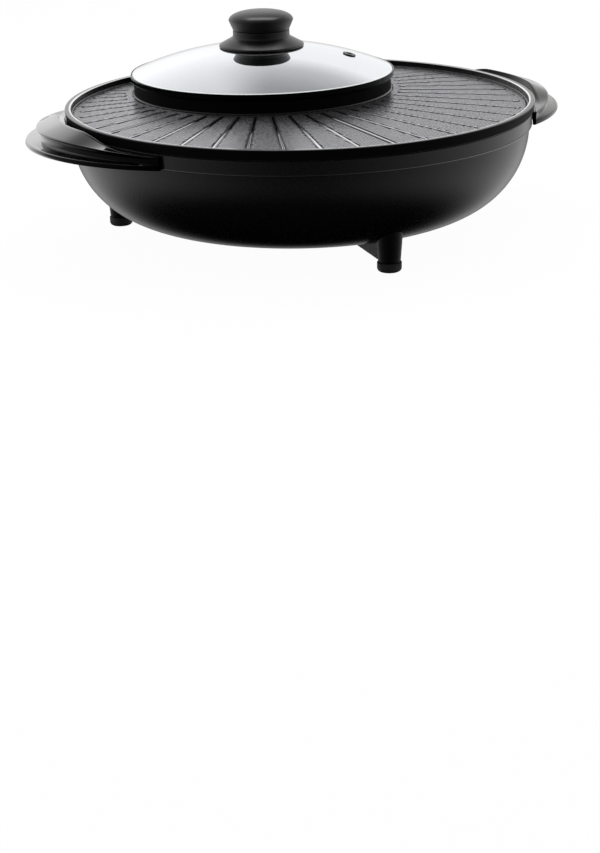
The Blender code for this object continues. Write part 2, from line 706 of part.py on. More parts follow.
def build_ribs(shape):
    """Tapered ribs that start at a set distance from the collar and end at one from the rim."""
    start = COLLAR_RADIUS + RIB_COLLAR_GAP
    circle = TRAY_RADIUS - RIB_RIM_GAP
    height = RIB_HEIGHT + JOIN_OVERLAP
    for number in range(RIB_COUNT):
        angle = 270.0 + RIB_PITCH * (number - (RIB_COUNT - 1) / 2)
        turn = math.radians(angle)
        reach = math.sqrt(circle**2 - (POT_OFFSET * math.cos(turn)) ** 2) - POT_OFFSET * math.sin(turn)
        middle = Vector(((start + reach) / 2, 0.0, TRAY_FLOOR - JOIN_OVERLAP + height / 2))
        size = (reach - start, RIB_WIDTH, height)
        shaping = Matrix.Translation(middle) @ Matrix.Diagonal((*size, 1.0))
        made = bmesh.ops.create_cube(shape, size=1.0, matrix=shaping)["verts"]
        upper = [vertex for vertex in made if vertex.co.z > middle.z]
        for vertex in upper:
            vertex.co.y *= RIB_TOP_WIDTH / RIB_WIDTH
            vertex.co.x -= math.copysign((RIB_WIDTH - RIB_TOP_WIDTH) / 2, vertex.co.x - middle.x)
        bmesh.ops.rotate(shape, verts=made, cent=(0.0, 0.0, 0.0), matrix=Matrix.Rotation(turn, 3, "Z"))


join(grill_pan, mesh_object("grill_ribs", build_ribs, None, POT_AXIS))

boss_lines = []
for seat, _ in post_seats:
    top = Vector((seat.x, seat.y, TRAY_UNDER + JOIN_OVERLAP))
    boss_lines.append((top, top + DOWN * (POST_BOSS_HEIGHT + JOIN_OVERLAP), POST_BOSS_RADIUS))
for seat, _ in clamp_seats:
    top = Vector((seat.x, seat.y, TRAY_UNDER + JOIN_OVERLAP))
    boss_lines.append((top, Vector((seat.x, seat.y, CLAMP_TOP + GAP)), CLAMP_BOSS_RADIUS))
pot_boss_top = Vector((0.0, POT_OFFSET, POT_UNDER + JOIN_OVERLAP))
boss_lines.append((pot_boss_top, Vector((0.0, POT_OFFSET, POT_CLAMP_TOP + GAP)), CLAMP_BOSS_RADIUS))
join(grill_pan, rods("cast_bosses", boss_lines, BOSS_STEPS))

pan_bores = [screw_line(seat, way, post_screw_length) for seat, way in post_seats]
pan_bores += [screw_line(seat, way, CLAMP_SCREW_LENGTH) for seat, way in clamp_seats]
pot_screw_seat = pot_clamp_seat[0] + Vector((0.0, POT_OFFSET, 0.0))
pan_bores.append(screw_line(pot_screw_seat, UP, CLAMP_SCREW_LENGTH))
cut(grill_pan, rods("boss_bores", pan_bores, SCREW_STEPS))


# Body shell: a drawn bowl with a plain band above the seam step, the belly below it and a flat bottom
shell_profile = [
    (BAND_TOP_RADIUS, SHELL_TOP),
    (BAND_RADIUS, SEAM_Z),
    *belly_outline(0.0),
    (BODY_OPENING_RADIUS, BODY_BOTTOM),
    (BODY_OPENING_RADIUS, SHELL_FLOOR),
    *reversed(belly_outline(-BODY_WALL)),
    (BELLY_RADIUS - BODY_WALL, SEAM_Z + BODY_WALL),
    (BAND_RADIUS - BODY_WALL, SEAM_Z + BODY_WALL),
    (BAND_TOP_RADIUS - BODY_WALL, SHELL_TOP),
]
body_shell = turned("body_shell", shell_profile, ROUND_STEPS, ENAMEL, PLATE_AXIS)

shell_bores = [screw_line(seat, way, FOOT_SCREW_LENGTH) for seat, way in foot_seats]
shell_bores += [screw_line(seat, way, HANDLE_SCREW_LENGTH) for seat, way in handle_seats]
shell_bores += [screw_line(seat, way, POST_RADIUS) for seat, way in post_seats]
shell_bores += [screw_line(seat, way, COVER_SCREW_LENGTH) for seat, way in cover_seats]
shell_bores += [screw_line(seat, way, SOCKET_SCREW_LENGTH) for seat, way in socket_seats]
cut(body_shell, rods("shell_bores", shell_bores, SCREW_STEPS))

socket_body_width = SOCKET_CAVITY_WIDTH + 2 * SOCKET_WALL
socket_body_height = SOCKET_CAVITY_HEIGHT + 2 * SOCKET_WALL
window_depth = SOCKET_FACE - SOCKET_REAR + 2 * OVERRUN
window = box(
    "socket_window",
    (window_depth, socket_body_width + 2 * GAP, socket_body_height + 2 * GAP),
    ((SOCKET_FACE + SOCKET_REAR) / 2, 0.0, SOCKET_HEIGHT),
    matrix=socket_turn,
)
cut(body_shell, window)


# Space that the shell fills, with clearance: what stands on its outside is cut by it
envelope_profile = [
    (0.0, SHELL_TOP),
    (BELLY_RADIUS + GAP, SHELL_TOP),
    *belly_outline(GAP),
    (0.0, BODY_BOTTOM - GAP),
]
shell_space = turned("shell_space", envelope_profile, ROUND_STEPS)


# Feet: a tapered post with a radial web that follows the belly, a rubber pad and a screw from inside
foot_bottom = PAD_HEIGHT + GAP
foot_top = belly_at_radius(FOOT_CIRCLE + FOOT_RADIUS)[0].y + OVERRUN
foot_profile = [
    (0.0, foot_top),
    (FOOT_RADIUS, foot_top),
    (FOOT_BOTTOM_RADIUS, foot_bottom),
    (FOOT_SPIGOT_RADIUS, foot_bottom),
    (FOOT_SPIGOT_RADIUS, foot_bottom - FOOT_SPIGOT_LENGTH),
    (0.0, foot_bottom - FOOT_SPIGOT_LENGTH),
]
foot_place = Matrix.Translation((FOOT_CIRCLE, 0.0, 0.0))
foot = turned("foot_front", foot_profile, FOOT_STEPS, PHENOLIC, None, foot_place)
web_outline = [
    (FOOT_CIRCLE, foot_bottom),
    (FOOT_CIRCLE, foot_top),
    (WEB_INNER_RADIUS, foot_top),
    (WEB_INNER_RADIUS, BODY_BOTTOM - WEB_TOE),
    (FOOT_CIRCLE - FOOT_BOTTOM_RADIUS, foot_bottom),
]
standing = Matrix.Rotation(math.radians(90.0), 4, "X")
web = outline_plate("foot_web", web_outline, -WEB_THICKNESS / 2, WEB_THICKNESS / 2, matrix=standing)
join(foot, web)
cut(foot, shell_space)
first_seat, first_way = foot_seats[0]
back_turn = about_z(-FOOT_ANGLES[0])
foot_bore = [screw_line(back_turn @ first_seat, back_turn @ first_way, FOOT_SCREW_LENGTH)]
cut(foot, rods("foot_bore", foot_bore, SCREW_STEPS))
foot_mesh = settle(foot)

pad_profile = [
    (0.0, PAD_HEIGHT - FOOT_SPIGOT_LENGTH),
    (FOOT_SPIGOT_RADIUS + GAP, PAD_HEIGHT - FOOT_SPIGOT_LENGTH),
    (FOOT_SPIGOT_RADIUS + GAP, PAD_HEIGHT),
    (PAD_RADIUS - PAD_EDGE, PAD_HEIGHT),
    (PAD_RADIUS, PAD_HEIGHT - PAD_EDGE),
    *arc((PAD_RADIUS - PAD_CORNER, PAD_CORNER), PAD_CORNER, 0.0, -90.0, PAD_CORNER_STEPS),
    (0.0, 0.0),
]
bpy.data.objects.remove(foot)
FOOT_NAMES = ("front", "rear_right", "rear_left")
for name, angle, (seat, way) in zip(FOOT_NAMES, FOOT_ANGLES, foot_seats):
    place("foot_" + name, foot_mesh, PHENOLIC, PLATE_AXIS, about_z(angle) @ foot_place)
    pad_place = Matrix.Translation(polar(FOOT_CIRCLE, angle))
    turned("foot_pad_" + name, pad_profile, FOOT_STEPS, RUBBER, PLATE_AXIS, pad_place)
    screw("foot_screw_" + name, seat, way, FOOT_SCREW_LENGTH)


# Bottom cover: a dished disc with air slots, screwed to the flange round the body's opening
cover_top = BODY_BOTTOM - GAP
dish_radius = BODY_OPENING_RADIUS - COVER_DISH
cover_profile = [
    (0.0, cover_top + COVER_DISH),
    (dish_radius - COVER_DISH, cover_top + COVER_DISH),
    (dish_radius, cover_top),
    (COVER_RADIUS, cover_top),
    (COVER_RADIUS, cover_top - COVER_WALL),
    (dish_radius - COVER_WALL, cover_top - COVER_WALL),
    (dish_radius - COVER_DISH - COVER_WALL, cover_top + COVER_DISH - COVER_WALL),
    (0.0, cover_top + COVER_DISH - COVER_WALL),
]
bottom_cover = turned("bottom_cover", cover_profile, ROUND_STEPS // 2, ENAMEL, PLATE_AXIS)


def build_slots(shape):
    for number in range(VENT_COUNT):
        turn = about_z(360.0 * number / VENT_COUNT)
        size = Matrix.Diagonal((VENT_LENGTH, VENT_WIDTH, COVER_DISH + 2 * OVERRUN, 1.0))
        middle = Matrix.Translation((VENT_CIRCLE, 0.0, cover_top))
        bmesh.ops.create_cube(shape, size=1.0, matrix=turn @ middle @ size)


cut(bottom_cover, mesh_object("cover_slots", build_slots))
cover_bores = [screw_line(seat, way, COVER_SCREW_LENGTH) for seat, way in cover_seats]
cut(bottom_cover, rods("cover_bores", cover_bores, SCREW_STEPS))
for number, (seat, way) in enumerate(cover_seats, 1):
    screw(f"cover_screw_{number}", seat, way, COVER_SCREW_LENGTH)


# Support posts: sleeves with a shoulder that carries the reflector, and a long screw through each
post_top = TRAY_UNDER - POST_BOSS_HEIGHT - GAP
post_base = SHELL_FLOOR + GAP
post_profile = [
    (SCREW_RADIUS + GAP, post_top),
    (POST_RADIUS, post_top),
    (POST_RADIUS, REFLECTOR_Z - GAP),
    (POST_SHOULDER_RADIUS, REFLECTOR_Z - GAP),
    (POST_SHOULDER_RADIUS, post_base),
    (SCREW_RADIUS + GAP, post_base),
]
POST_NAMES = ("left", "front_left", "front_right", "right")
for name, (seat, way) in zip(POST_NAMES, post_seats):
    post_place = Matrix.Translation((seat.x, seat.y, 0.0))
    turned("support_post_" + name, post_profile, POST_STEPS, SHEET_STEEL, PLATE_AXIS, post_place)
    screw("support_screw_" + name, seat, way, post_screw_length)


# Heat reflector: a sheet under the grill element, cut round the pot, resting on the posts' shoulders
reflector_profile = [
    (0.0, REFLECTOR_Z + REFLECTOR_WALL),
    (REFLECTOR_RADIUS, REFLECTOR_Z + REFLECTOR_WALL),
    (REFLECTOR_RADIUS, REFLECTOR_Z),
    (0.0, REFLECTOR_Z),
]
heat_reflector = turned("heat_reflector", reflector_profile, ROUND_STEPS // 2, STEEL, PLATE_AXIS)
pot_hole_radius = pot_radius_at(TRAY_UNDER) + POT_WALL + REFLECTOR_POT_GAP
pot_axis_low = Vector((0.0, POT_OFFSET, REFLECTOR_Z - OVERRUN))
pot_axis_high = Vector((0.0, POT_OFFSET, REFLECTOR_Z + OVERRUN))
cut(heat_reflector, rods("pot_hole", [(pot_axis_low, pot_axis_high, pot_hole_radius)], POT_STEPS))
post_holes = []
for seat, _ in post_seats:
    foot_point = Vector((seat.x, seat.y, REFLECTOR_Z))
    post_holes.append((foot_point + DOWN * OVERRUN, foot_point + UP * OVERRUN, POST_RADIUS + GAP))
cut(heat_reflector, rods("post_holes", post_holes, POST_STEPS))


# Heating elements: a hairpin under the tray and a ring under the pot
leg_half = GRILL_LEG_SPACING / 2
leg_start = leg_end_angle(GRILL_START_GAP)
leg_end = -180.0 - leg_end_angle(GRILL_BEND_GAP)
leg_steps = round((leg_start - leg_end) / GRILL_STEP)
bend_centre = polar(clamp_circle, leg_end)
hairpin = arc((0.0, 0.0), GRILL_OUTER_LEG, leg_start, leg_end, leg_steps)
hairpin += arc(bend_centre, leg_half, leg_end, leg_end - 180.0, GRILL_BEND_STEPS)[1:-1]
hairpin += arc((0.0, 0.0), GRILL_INNER_LEG, leg_end, leg_start, leg_steps)
hairpin_points = [(x, y, ELEMENT_Z) for x, y in hairpin]
tube("grill_heating_element", hairpin_points, ELEMENT_RADIUS, ELEMENT_RESOLUTION, ELEMENT_STEEL, PLATE_AXIS)

ring = arc((0.0, 0.0), POT_RING_RADIUS, POT_RING_OPENING, 360.0 - POT_RING_OPENING, POT_RING_STEPS)
ring_points = [(x, y, POT_ELEMENT_Z) for x, y in ring]
ring_start = ring_points[0]
ring_end = ring_points[-1]
ring_points.insert(0, (ring_start[0] + POT_TERMINAL, ring_start[1], POT_ELEMENT_Z))
ring_points.append((ring_end[0] + POT_TERMINAL, ring_end[1], POT_ELEMENT_Z))
tube("pot_heating_element", ring_points, ELEMENT_RADIUS, ELEMENT_RESOLUTION, ELEMENT_STEEL, POT_AXIS)


def clamp_outline(middle, half, top):
    """A strap below two runs of an element, with ends turned up beside them."""
    outer = half + ELEMENT_RADIUS + GAP + CLAMP_WALL
    inner = half + ELEMENT_RADIUS + GAP
    bottom = top - CLAMP_WALL
    return [
        (middle - outer, bottom),
        (middle - outer, top + CLAMP_LIP),
        (middle - inner, top + CLAMP_LIP),
        (middle - inner, top),
        (middle + inner, top),
        (middle + inner, top + CLAMP_LIP),
        (middle + outer, top + CLAMP_LIP),
        (middle + outer, bottom),
    ]


def clamp_bore(middle, top):
    start = Vector((middle, 0.0, top - CLAMP_WALL - OVERRUN))
    return [(start, Vector((middle, 0.0, top + OVERRUN)), SCREW_RADIUS + GAP)]


strap_outline = clamp_outline(clamp_circle, leg_half, CLAMP_TOP)
strap_sides = (-CLAMP_WIDTH / 2, CLAMP_WIDTH / 2)
strap = outline_plate("grill_strap", strap_outline, *strap_sides, SHEET_STEEL, None, standing)
cut(strap, rods("strap_bore", clamp_bore(clamp_circle, CLAMP_TOP), SCREW_STEPS))
strap_mesh = settle(strap)
bpy.data.objects.remove(strap)
CLAMP_NAMES = ("left", "front", "right")
for name, angle, (seat, way) in zip(CLAMP_NAMES, CLAMP_ANGLES, clamp_seats):
    place("grill_element_clamp_" + name, strap_mesh, SHEET_STEEL, PLATE_AXIS, about_z(angle) @ standing)
    screw("grill_clamp_screw_" + name, seat, way, CLAMP_SCREW_LENGTH)

pot_strap_outline = clamp_outline(0.0, POT_RING_RADIUS, POT_CLAMP_TOP)
pot_strap_place = about_z(90.0) @ standing
pot_strap = outline_plate(
    "pot_element_clamp", pot_strap_outline, *strap_sides, SHEET_STEEL, POT_AXIS, pot_strap_place
)
cut(pot_strap, rods("pot_strap_bore", clamp_bore(0.0, POT_CLAMP_TOP), SCREW_STEPS, None, POT_AXIS))
screw("pot_clamp_screw", pot_clamp_seat[0], UP, CLAMP_SCREW_LENGTH, parent=POT_AXIS)


# Controller socket: a moulded bezel that follows the belly, a box through the wall, pins and a probe sleeve
socket_housing = box(
    "socket_housing",
    (SOCKET_BEZEL_DEPTH, SOCKET_BEZEL_WIDTH, SOCKET_BEZEL_HEIGHT),
    (SOCKET_FACE - SOCKET_BEZEL_DEPTH / 2, 0.0, SOCKET_HEIGHT),
    SOCKET_BLACK,
    PLATE_AXIS,
    socket_turn,
)
cut(socket_housing, shell_space)
socket_body_front = SOCKET_FACE - SOCKET_WALL / 2
socket_body = box(
    "socket_body",
    (socket_body_front - SOCKET_REAR, socket_body_width, socket_body_height),
    ((socket_body_front + SOCKET_REAR) / 2, 0.0, SOCKET_HEIGHT),
    matrix=socket_turn,
)
join(socket_housing, socket_body)
socket_cavity = box(
    "socket_cavity",
    (SOCKET_CAVITY_DEPTH + OVERRUN, SOCKET_CAVITY_WIDTH, SOCKET_CAVITY_HEIGHT),
    (SOCKET_FLOOR + (SOCKET_CAVITY_DEPTH + OVERRUN) / 2, 0.0, SOCKET_HEIGHT),
    matrix=socket_turn,
)
cut(socket_housing, socket_cavity)


def socket_point(depth, across):
    """A point at a distance from the plate's axis along the socket's direction, and across it."""
    return socket_out * depth + socket_side * across + UP * SOCKET_HEIGHT


sleeve_end = pot_hits_ray(SOCKET_ANGLE, SOCKET_HEIGHT, SLEEVE_RADIUS)
pin_rear = SOCKET_REAR - PIN_TAIL
socket_bores = [screw_line(seat, way, SOCKET_SCREW_LENGTH) for seat, way in socket_seats]
for across in (-PIN_OFFSET, PIN_OFFSET):
    socket_bores.append((socket_point(pin_rear, across), socket_point(SOCKET_FACE, across), PIN_RADIUS + GAP))
socket_bores.append((socket_point(pin_rear, 0.0), socket_point(SOCKET_FACE, 0.0), SLEEVE_RADIUS + GAP))
cut(socket_housing, rods("socket_bores", socket_bores, POST_STEPS))
socket_recesses = []
for across in (-SOCKET_SCREW_OFFSET, SOCKET_SCREW_OFFSET):
    recess_floor = socket_point(SOCKET_FACE - SOCKET_SCREW_RECESS, across)
    recess_mouth = socket_point(SOCKET_FACE + OVERRUN, across)
    socket_recesses.append((recess_floor, recess_mouth, SCREW_HEAD_RADIUS + GAP))
cut(socket_housing, rods("socket_recesses", socket_recesses, POST_STEPS))

for name, across in (("left", -PIN_OFFSET), ("right", PIN_OFFSET)):
    pin_line = (socket_point(pin_rear, across), socket_point(SOCKET_FACE - PIN_SETBACK, across), PIN_RADIUS)
    rods("socket_pin_" + name, [pin_line], POST_STEPS, BRASS, PLATE_AXIS)
sleeve_length = SOCKET_FLOOR - sleeve_end
sleeve_profile = [
    (0.0, SLEEVE_END - sleeve_length),
    (SLEEVE_BORE, SLEEVE_END - sleeve_length),
    (SLEEVE_BORE, 0.0),
    (SLEEVE_RADIUS, 0.0),
    (SLEEVE_RADIUS, -sleeve_length),
    (0.0, -sleeve_length),
]
sleeve_place = aim(socket_point(SOCKET_FLOOR, 0.0), -socket_out)
turned("probe_sleeve", sleeve_profile, POST_STEPS, STEEL, PLATE_AXIS, sleeve_place)
for name, (seat, way) in zip(("left", "right"), socket_seats):
    screw("socket_screw_" + name, seat, way, SOCKET_SCREW_LENGTH)


# Leads: from each pin's tail up to an end of the grill element, or down to an end of the pot's ring
lead_wall_radius = belly_radius_at(REFLECTOR_Z) - BODY_WALL - LEAD_SHELL_GAP


def smooth_route(route):
    """A curve through a few route points, with even steps between each two of them."""
    points = [route[0] * 2 - route[1]] + route + [route[-1] * 2 - route[-2]]
    curve = []
    for a, b, c, d in zip(points, points[1:], points[2:], points[3:]):
        for step in range(LEAD_SMOOTHING):
            s = step / LEAD_SMOOTHING
            square = (a * 2 - b * 5 + c * 4 - d) * s**2
            cube = (b * 3 - a - c * 3 + d) * s**3
            curve.append((b * 2 + (c - a) * s + square + cube) / 2)
    curve.append(route[-1])
    return curve


def grill_lead(name, across, leg, rise_angle):
    """From behind a pin, up outside the reflector and over it to an end of the grill element."""
    start = socket_point(pin_rear - GAP, across)
    back = socket_point(pin_rear - GAP - LEAD_BEND, across)
    low = polar(lead_wall_radius - LEAD_BEND, rise_angle, SOCKET_HEIGHT + LEAD_BEND)
    past_reflector = polar(lead_wall_radius, rise_angle, REFLECTOR_Z)
    high = polar(lead_wall_radius - LEAD_BEND / 2, rise_angle, ELEMENT_Z)
    near = polar(leg, lead_end_angle, ELEMENT_Z) + outward(leg_start + 90.0) * LEAD_BEND
    end = polar(leg, lead_end_angle, ELEMENT_Z)
    route = smooth_route([start, back, low, past_reflector, high, near, end])
    tube(name, route, LEAD_RADIUS, LEAD_RESOLUTION, LEAD_SLEEVE)


lead_end_angle = leg_start + math.degrees(2 * GAP / GRILL_INNER_LEG)
grill_lead("grill_lead_outer", -PIN_OFFSET, GRILL_OUTER_LEG, SOCKET_ANGLE - LEAD_RISE_ANGLE)
grill_lead("grill_lead_inner", PIN_OFFSET, GRILL_INNER_LEG, SOCKET_ANGLE + LEAD_RISE_ANGLE)


def pot_lead(name, across, terminal):
    """From below a pin, down and in under the pot to a terminal of its ring element."""
    end = Vector(terminal) + Vector((GAP, POT_OFFSET, 0.0))
    near = end + Vector((LEAD_BEND, 0.0, 0.0))
    start = socket_point(pin_rear + PIN_TAIL / 2, across) + DOWN * (PIN_RADIUS + GAP)
    drop = socket_point(pin_rear - LEAD_BEND / 2, across)
    drop.z = POT_ELEMENT_Z + LEAD_BEND / 2
    middle = near + (drop - near) * LEAD_MIDDLE_SHARE
    middle.z = POT_ELEMENT_Z
    below = start + DOWN * LEAD_BEND / 3
    route = smooth_route([start, below, drop, middle, near, end])
    tube(name, route, LEAD_RADIUS, LEAD_RESOLUTION, LEAD_SLEEVE)


pot_lead("pot_lead_rear", PIN_OFFSET, ring_points[0])
pot_lead("pot_lead_front", -PIN_OFFSET, ring_points[-1])


# Handles: a section that changes round the plate, lofted, with a finger pocket below
def fall(angle, power):
    """1 in the middle of a handle, 0 at its ends."""
    return 1.0 - (abs(angle) / HANDLE_HALF_ANGLE) ** power


def ridge_share(angle):
    """1 where the ridge stands at full height, 0 past the angle where it has run out."""
    along = (abs(angle) - HANDLE_FLAT_ANGLE) / (HANDLE_FALL_ANGLE - HANDLE_FLAT_ANGLE)
    along = min(max(along, 0.0), 1.0)
    return 1.0 - along * along * (3.0 - 2.0 * along)


handle_base = PLATE_RADIUS + HANDLE_RIM_GAP
handle_seat = BAND_TOP_RADIUS + GAP
handle_shoulder = SHELL_TOP - HANDLE_STEP_DOWN


def handle_section(angle):
    """The handle's outline in the upright plane at an angle, from the rim outwards and back below."""
    ridge_reach = HANDLE_END_REACH + HANDLE_RIDGE_REACH * fall(angle, HANDLE_RIDGE_POWER)
    edge_reach = HANDLE_END_REACH + HANDLE_EDGE_REACH * fall(angle, HANDLE_EDGE_POWER)
    lip_reach = HANDLE_END_REACH + HANDLE_REACH * fall(angle, HANDLE_LIP_POWER)
    ridge_z = handle_shoulder + HANDLE_RIDGE_RISE * ridge_share(angle)
    edge_z = handle_shoulder + HANDLE_EDGE_RISE * fall(angle, HANDLE_BOW_POWER) - 2 * HANDLE_STEP_DOWN
    lip_bottom = handle_shoulder - HANDLE_DEPTH + HANDLE_LIP_BOW * fall(angle, HANDLE_BOW_POWER)
    lip_top = lip_bottom + HANDLE_LIP
    waist = edge_z - (edge_z - lip_top) * HANDLE_WAIST_SHARE
    low_waist = edge_z - (edge_z - lip_top) * HANDLE_LOW_WAIST_SHARE
    valley_z = handle_shoulder + (ridge_z - handle_shoulder) * HANDLE_VALLEY_SHARE
    outline = [
        (handle_base, valley_z),
        (handle_base + ridge_reach * HANDLE_VALLEY_WIDTH_SHARE, valley_z),
        (handle_base + ridge_reach * HANDLE_RIDGE_SHARE, ridge_z),
        (handle_base + ridge_reach, ridge_z - HANDLE_STEP_DOWN / 2),
        (handle_base + edge_reach * HANDLE_EDGE_SHARE, edge_z + HANDLE_STEP_DOWN / 2),
        (handle_base + edge_reach, edge_z - HANDLE_STEP_DOWN / 2),
        (handle_base + edge_reach * HANDLE_HOLLOW_SHARE, waist),
        (handle_base + edge_reach * HANDLE_HOLLOW_SHARE, low_waist),
        (handle_base + lip_reach * HANDLE_LIP_ROOT_SHARE, lip_top + HANDLE_STEP_DOWN / 2),
        (handle_base + lip_reach * HANDLE_LIP_EDGE_SHARE, lip_top),
        (handle_base + lip_reach, lip_top - HANDLE_LIP / 2),
        (handle_base + lip_reach * HANDLE_LIP_EDGE_SHARE, lip_bottom),
        (handle_seat, lip_bottom),
        (handle_seat, handle_shoulder - HANDLE_STEP_DOWN),
        (handle_base, handle_shoulder - HANDLE_STEP_DOWN / 2),
    ]
    return outline


def swept(outline_at, half_angle, steps):
    """Sections of an outline at even angles on both sides of +X."""
    sections = []
    for step in range(steps + 1):
        angle = half_angle * (2 * step / steps - 1)
        sections.append([polar(radius, angle, height) for radius, height in outline_at(angle)])
    return sections


handle_steps = round(2 * HANDLE_HALF_ANGLE / HANDLE_STEP)
handle = loft("handle_blank", swept(handle_section, HANDLE_HALF_ANGLE, handle_steps), PHENOLIC)


def pocket_section(angle):
    """The finger pocket's outline: narrower at its top, a wall inside the handle's outer face."""
    bottom = handle_shoulder - HANDLE_DEPTH
    top = bottom + POCKET_DEPTH
    inner = handle_base + POCKET_WALL
    hollow = HANDLE_EDGE_REACH * fall(angle, HANDLE_EDGE_POWER) * HANDLE_HOLLOW_SHARE
    upper = handle_base + hollow - POCKET_WALL
    lower = handle_base + HANDLE_REACH * fall(angle, HANDLE_LIP_POWER) - POCKET_WALL
    return [(inner, bottom - OVERRUN), (inner, top), (upper, top), (lower, bottom), (lower, bottom - OVERRUN)]


pocket_steps = round(2 * POCKET_HALF_ANGLE / HANDLE_STEP) + 1
cut(handle, loft("finger_pocket", swept(pocket_section, POCKET_HALF_ANGLE, pocket_steps)))
handle_bores = [screw_line(seat, way, HANDLE_SCREW_LENGTH) for seat, way in handle_seats[:2]]
cut(handle, rods("handle_bores", handle_bores, SCREW_STEPS))
handle_mesh = settle(handle)
bpy.data.objects.remove(handle)
place("handle_right", handle_mesh, PHENOLIC, PLATE_AXIS)
place("handle_left", handle_mesh, PHENOLIC, PLATE_AXIS, about_z(180.0))
HANDLE_SCREW_NAMES = ("right_front", "right_rear", "left_rear", "left_front")
for name, (seat, way) in zip(HANDLE_SCREW_NAMES, handle_seats):
    screw("handle_screw_" + name, seat, way, HANDLE_SCREW_LENGTH)


# Lid: a steel band with a locating skirt, which carries the edge of the glass dome
band_outer = COLLAR_RADIUS + LID_OVERHANG
skirt_bottom = COLLAR_TOP - LID_SKIRT_DEPTH
skirt_outer = pot_radius_at(skirt_bottom) - LID_PLAY
skirt_inner = skirt_outer - LID_SHEET
glass_under_edge = dome_height(GLASS_EDGE_RADIUS, GLASS_WALL)
shelf = glass_under_edge - GAP
band_profile = [
    (GLASS_EDGE_RADIUS + GAP, LID_BAND_TOP),
    (band_outer - LID_SHEET / 2, LID_BAND_TOP),
    (band_outer, LID_BAND_TOP - LID_SHEET / 2),
    (band_outer, LID_BOTTOM + LID_SHEET),
    (band_outer - LID_SHEET, LID_BOTTOM),
    (skirt_outer, LID_BOTTOM),
    (skirt_outer, skirt_bottom),
    (skirt_inner, skirt_bottom),
    (skirt_inner, shelf),
    (GLASS_EDGE_RADIUS + GAP, shelf),
]
turned("lid_rim_band", band_profile, LID_ROUND_STEPS, BLACK_STEEL, LID_AXIS)

glass_radii = [GLASS_EDGE_RADIUS * step / DOME_STEPS for step in range(1, DOME_STEPS + 1)]
bore_radius = KNOB_SCREW_RADIUS + 2 * GAP
glass_profile = [(bore_radius, dome_height(bore_radius))]
glass_profile += [(radius, dome_height(radius)) for radius in glass_radii]
glass_profile += [(radius, dome_height(radius, GLASS_WALL)) for radius in reversed(glass_radii)]
glass_profile.append((bore_radius, dome_height(bore_radius, GLASS_WALL)))
lid_glass = turned("lid_glass", glass_profile, LID_ROUND_STEPS, GLASS, LID_AXIS)

eyelet_lean = math.asin(VENT_EYELET_CIRCLE / DOME_RADIUS)
eyelet_point = polar(VENT_EYELET_CIRCLE, VENT_EYELET_ANGLE, dome_height(VENT_EYELET_CIRCLE))
eyelet_out = polar(math.sin(eyelet_lean), VENT_EYELET_ANGLE, math.cos(eyelet_lean))
eyelet_line = (
    eyelet_point - eyelet_out * (GLASS_WALL + OVERRUN),
    eyelet_point + eyelet_out * OVERRUN,
    EYELET_BORE + EYELET_WALL + GAP,
)
cut(lid_glass, rods("eyelet_hole", [eyelet_line], POST_STEPS, None, LID_AXIS))
eyelet_top = GAP + EYELET_SHEET
eyelet_under = -GLASS_WALL - 2 * GAP - EYELET_SHEET
eyelet_profile = [
    (EYELET_BORE, eyelet_top),
    (EYELET_FLANGE - EYELET_SHEET, eyelet_top),
    (EYELET_FLANGE, GAP),
    (EYELET_BORE + EYELET_WALL, GAP),
    (EYELET_BORE + EYELET_WALL, eyelet_under + EYELET_SHEET),
    (EYELET_FLANGE - EYELET_SHEET, eyelet_under + EYELET_SHEET),
    (EYELET_FLANGE - EYELET_SHEET, eyelet_under),
    (EYELET_BORE, eyelet_under),
]
turned("vent_eyelet", eyelet_profile, POST_STEPS, STEEL, LID_AXIS, aim(eyelet_point, -eyelet_out))


# Knob: a flared heat guard and a domed cap, drawn together by one screw through the glass
guard_base = dome_height(KNOB_HUB_RADIUS) + 2 * GAP
guard_edge_bottom = dome_height(KNOB_GUARD_RADIUS) + 2 * GAP
guard_profile = [
    (KNOB_SCREW_RADIUS + GAP, NECK_TOP),
    (KNOB_NECK_RADIUS, NECK_TOP),
    (KNOB_NECK_RADIUS, GUARD_TOP),
    (KNOB_GUARD_RADIUS, guard_edge_bottom + KNOB_GUARD_EDGE),
    (KNOB_GUARD_RADIUS, guard_edge_bottom),
    (KNOB_GUARD_RADIUS - KNOB_GUARD_EDGE, guard_edge_bottom),
    (KNOB_NECK_RADIUS - KNOB_GUARD_EDGE, GUARD_TOP - KNOB_GUARD_EDGE),
    (KNOB_HUB_RADIUS, GUARD_TOP - KNOB_GUARD_EDGE),
    (KNOB_HUB_RADIUS, guard_base),
    (KNOB_SCREW_RADIUS + GAP, guard_base),
]
turned("knob_guard", guard_profile, KNOB_STEPS, KNOB_BLACK, LID_AXIS)

cap_base = NECK_TOP + GAP
cap_waist = cap_base + KNOB_CAP_BELLY
cap_crown = KNOB_CAP_HEIGHT - KNOB_CAP_BELLY
cap_profile = [(0.0, cap_base + KNOB_CAP_HEIGHT)]
for step in range(1, KNOB_CAP_STEPS + 1):
    turn = math.pi / 2 * step / KNOB_CAP_STEPS
    across = math.sin(turn) ** (2 / KNOB_CAP_POWER)
    cap_profile.append((KNOB_CAP_RADIUS * across, cap_waist + cap_crown * max(math.cos(turn), 0.0)))
screw_well = cap_base + KNOB_SCREW_DEPTH + GAP
cap_profile += [
    (KNOB_CAP_FOOT_RADIUS, cap_base),
    (KNOB_SCREW_RADIUS + GAP, cap_base),
    (KNOB_SCREW_RADIUS + GAP, screw_well),
    (0.0, screw_well),
]
turned("knob_cap", cap_profile, KNOB_STEPS, KNOB_BLACK, LID_AXIS)

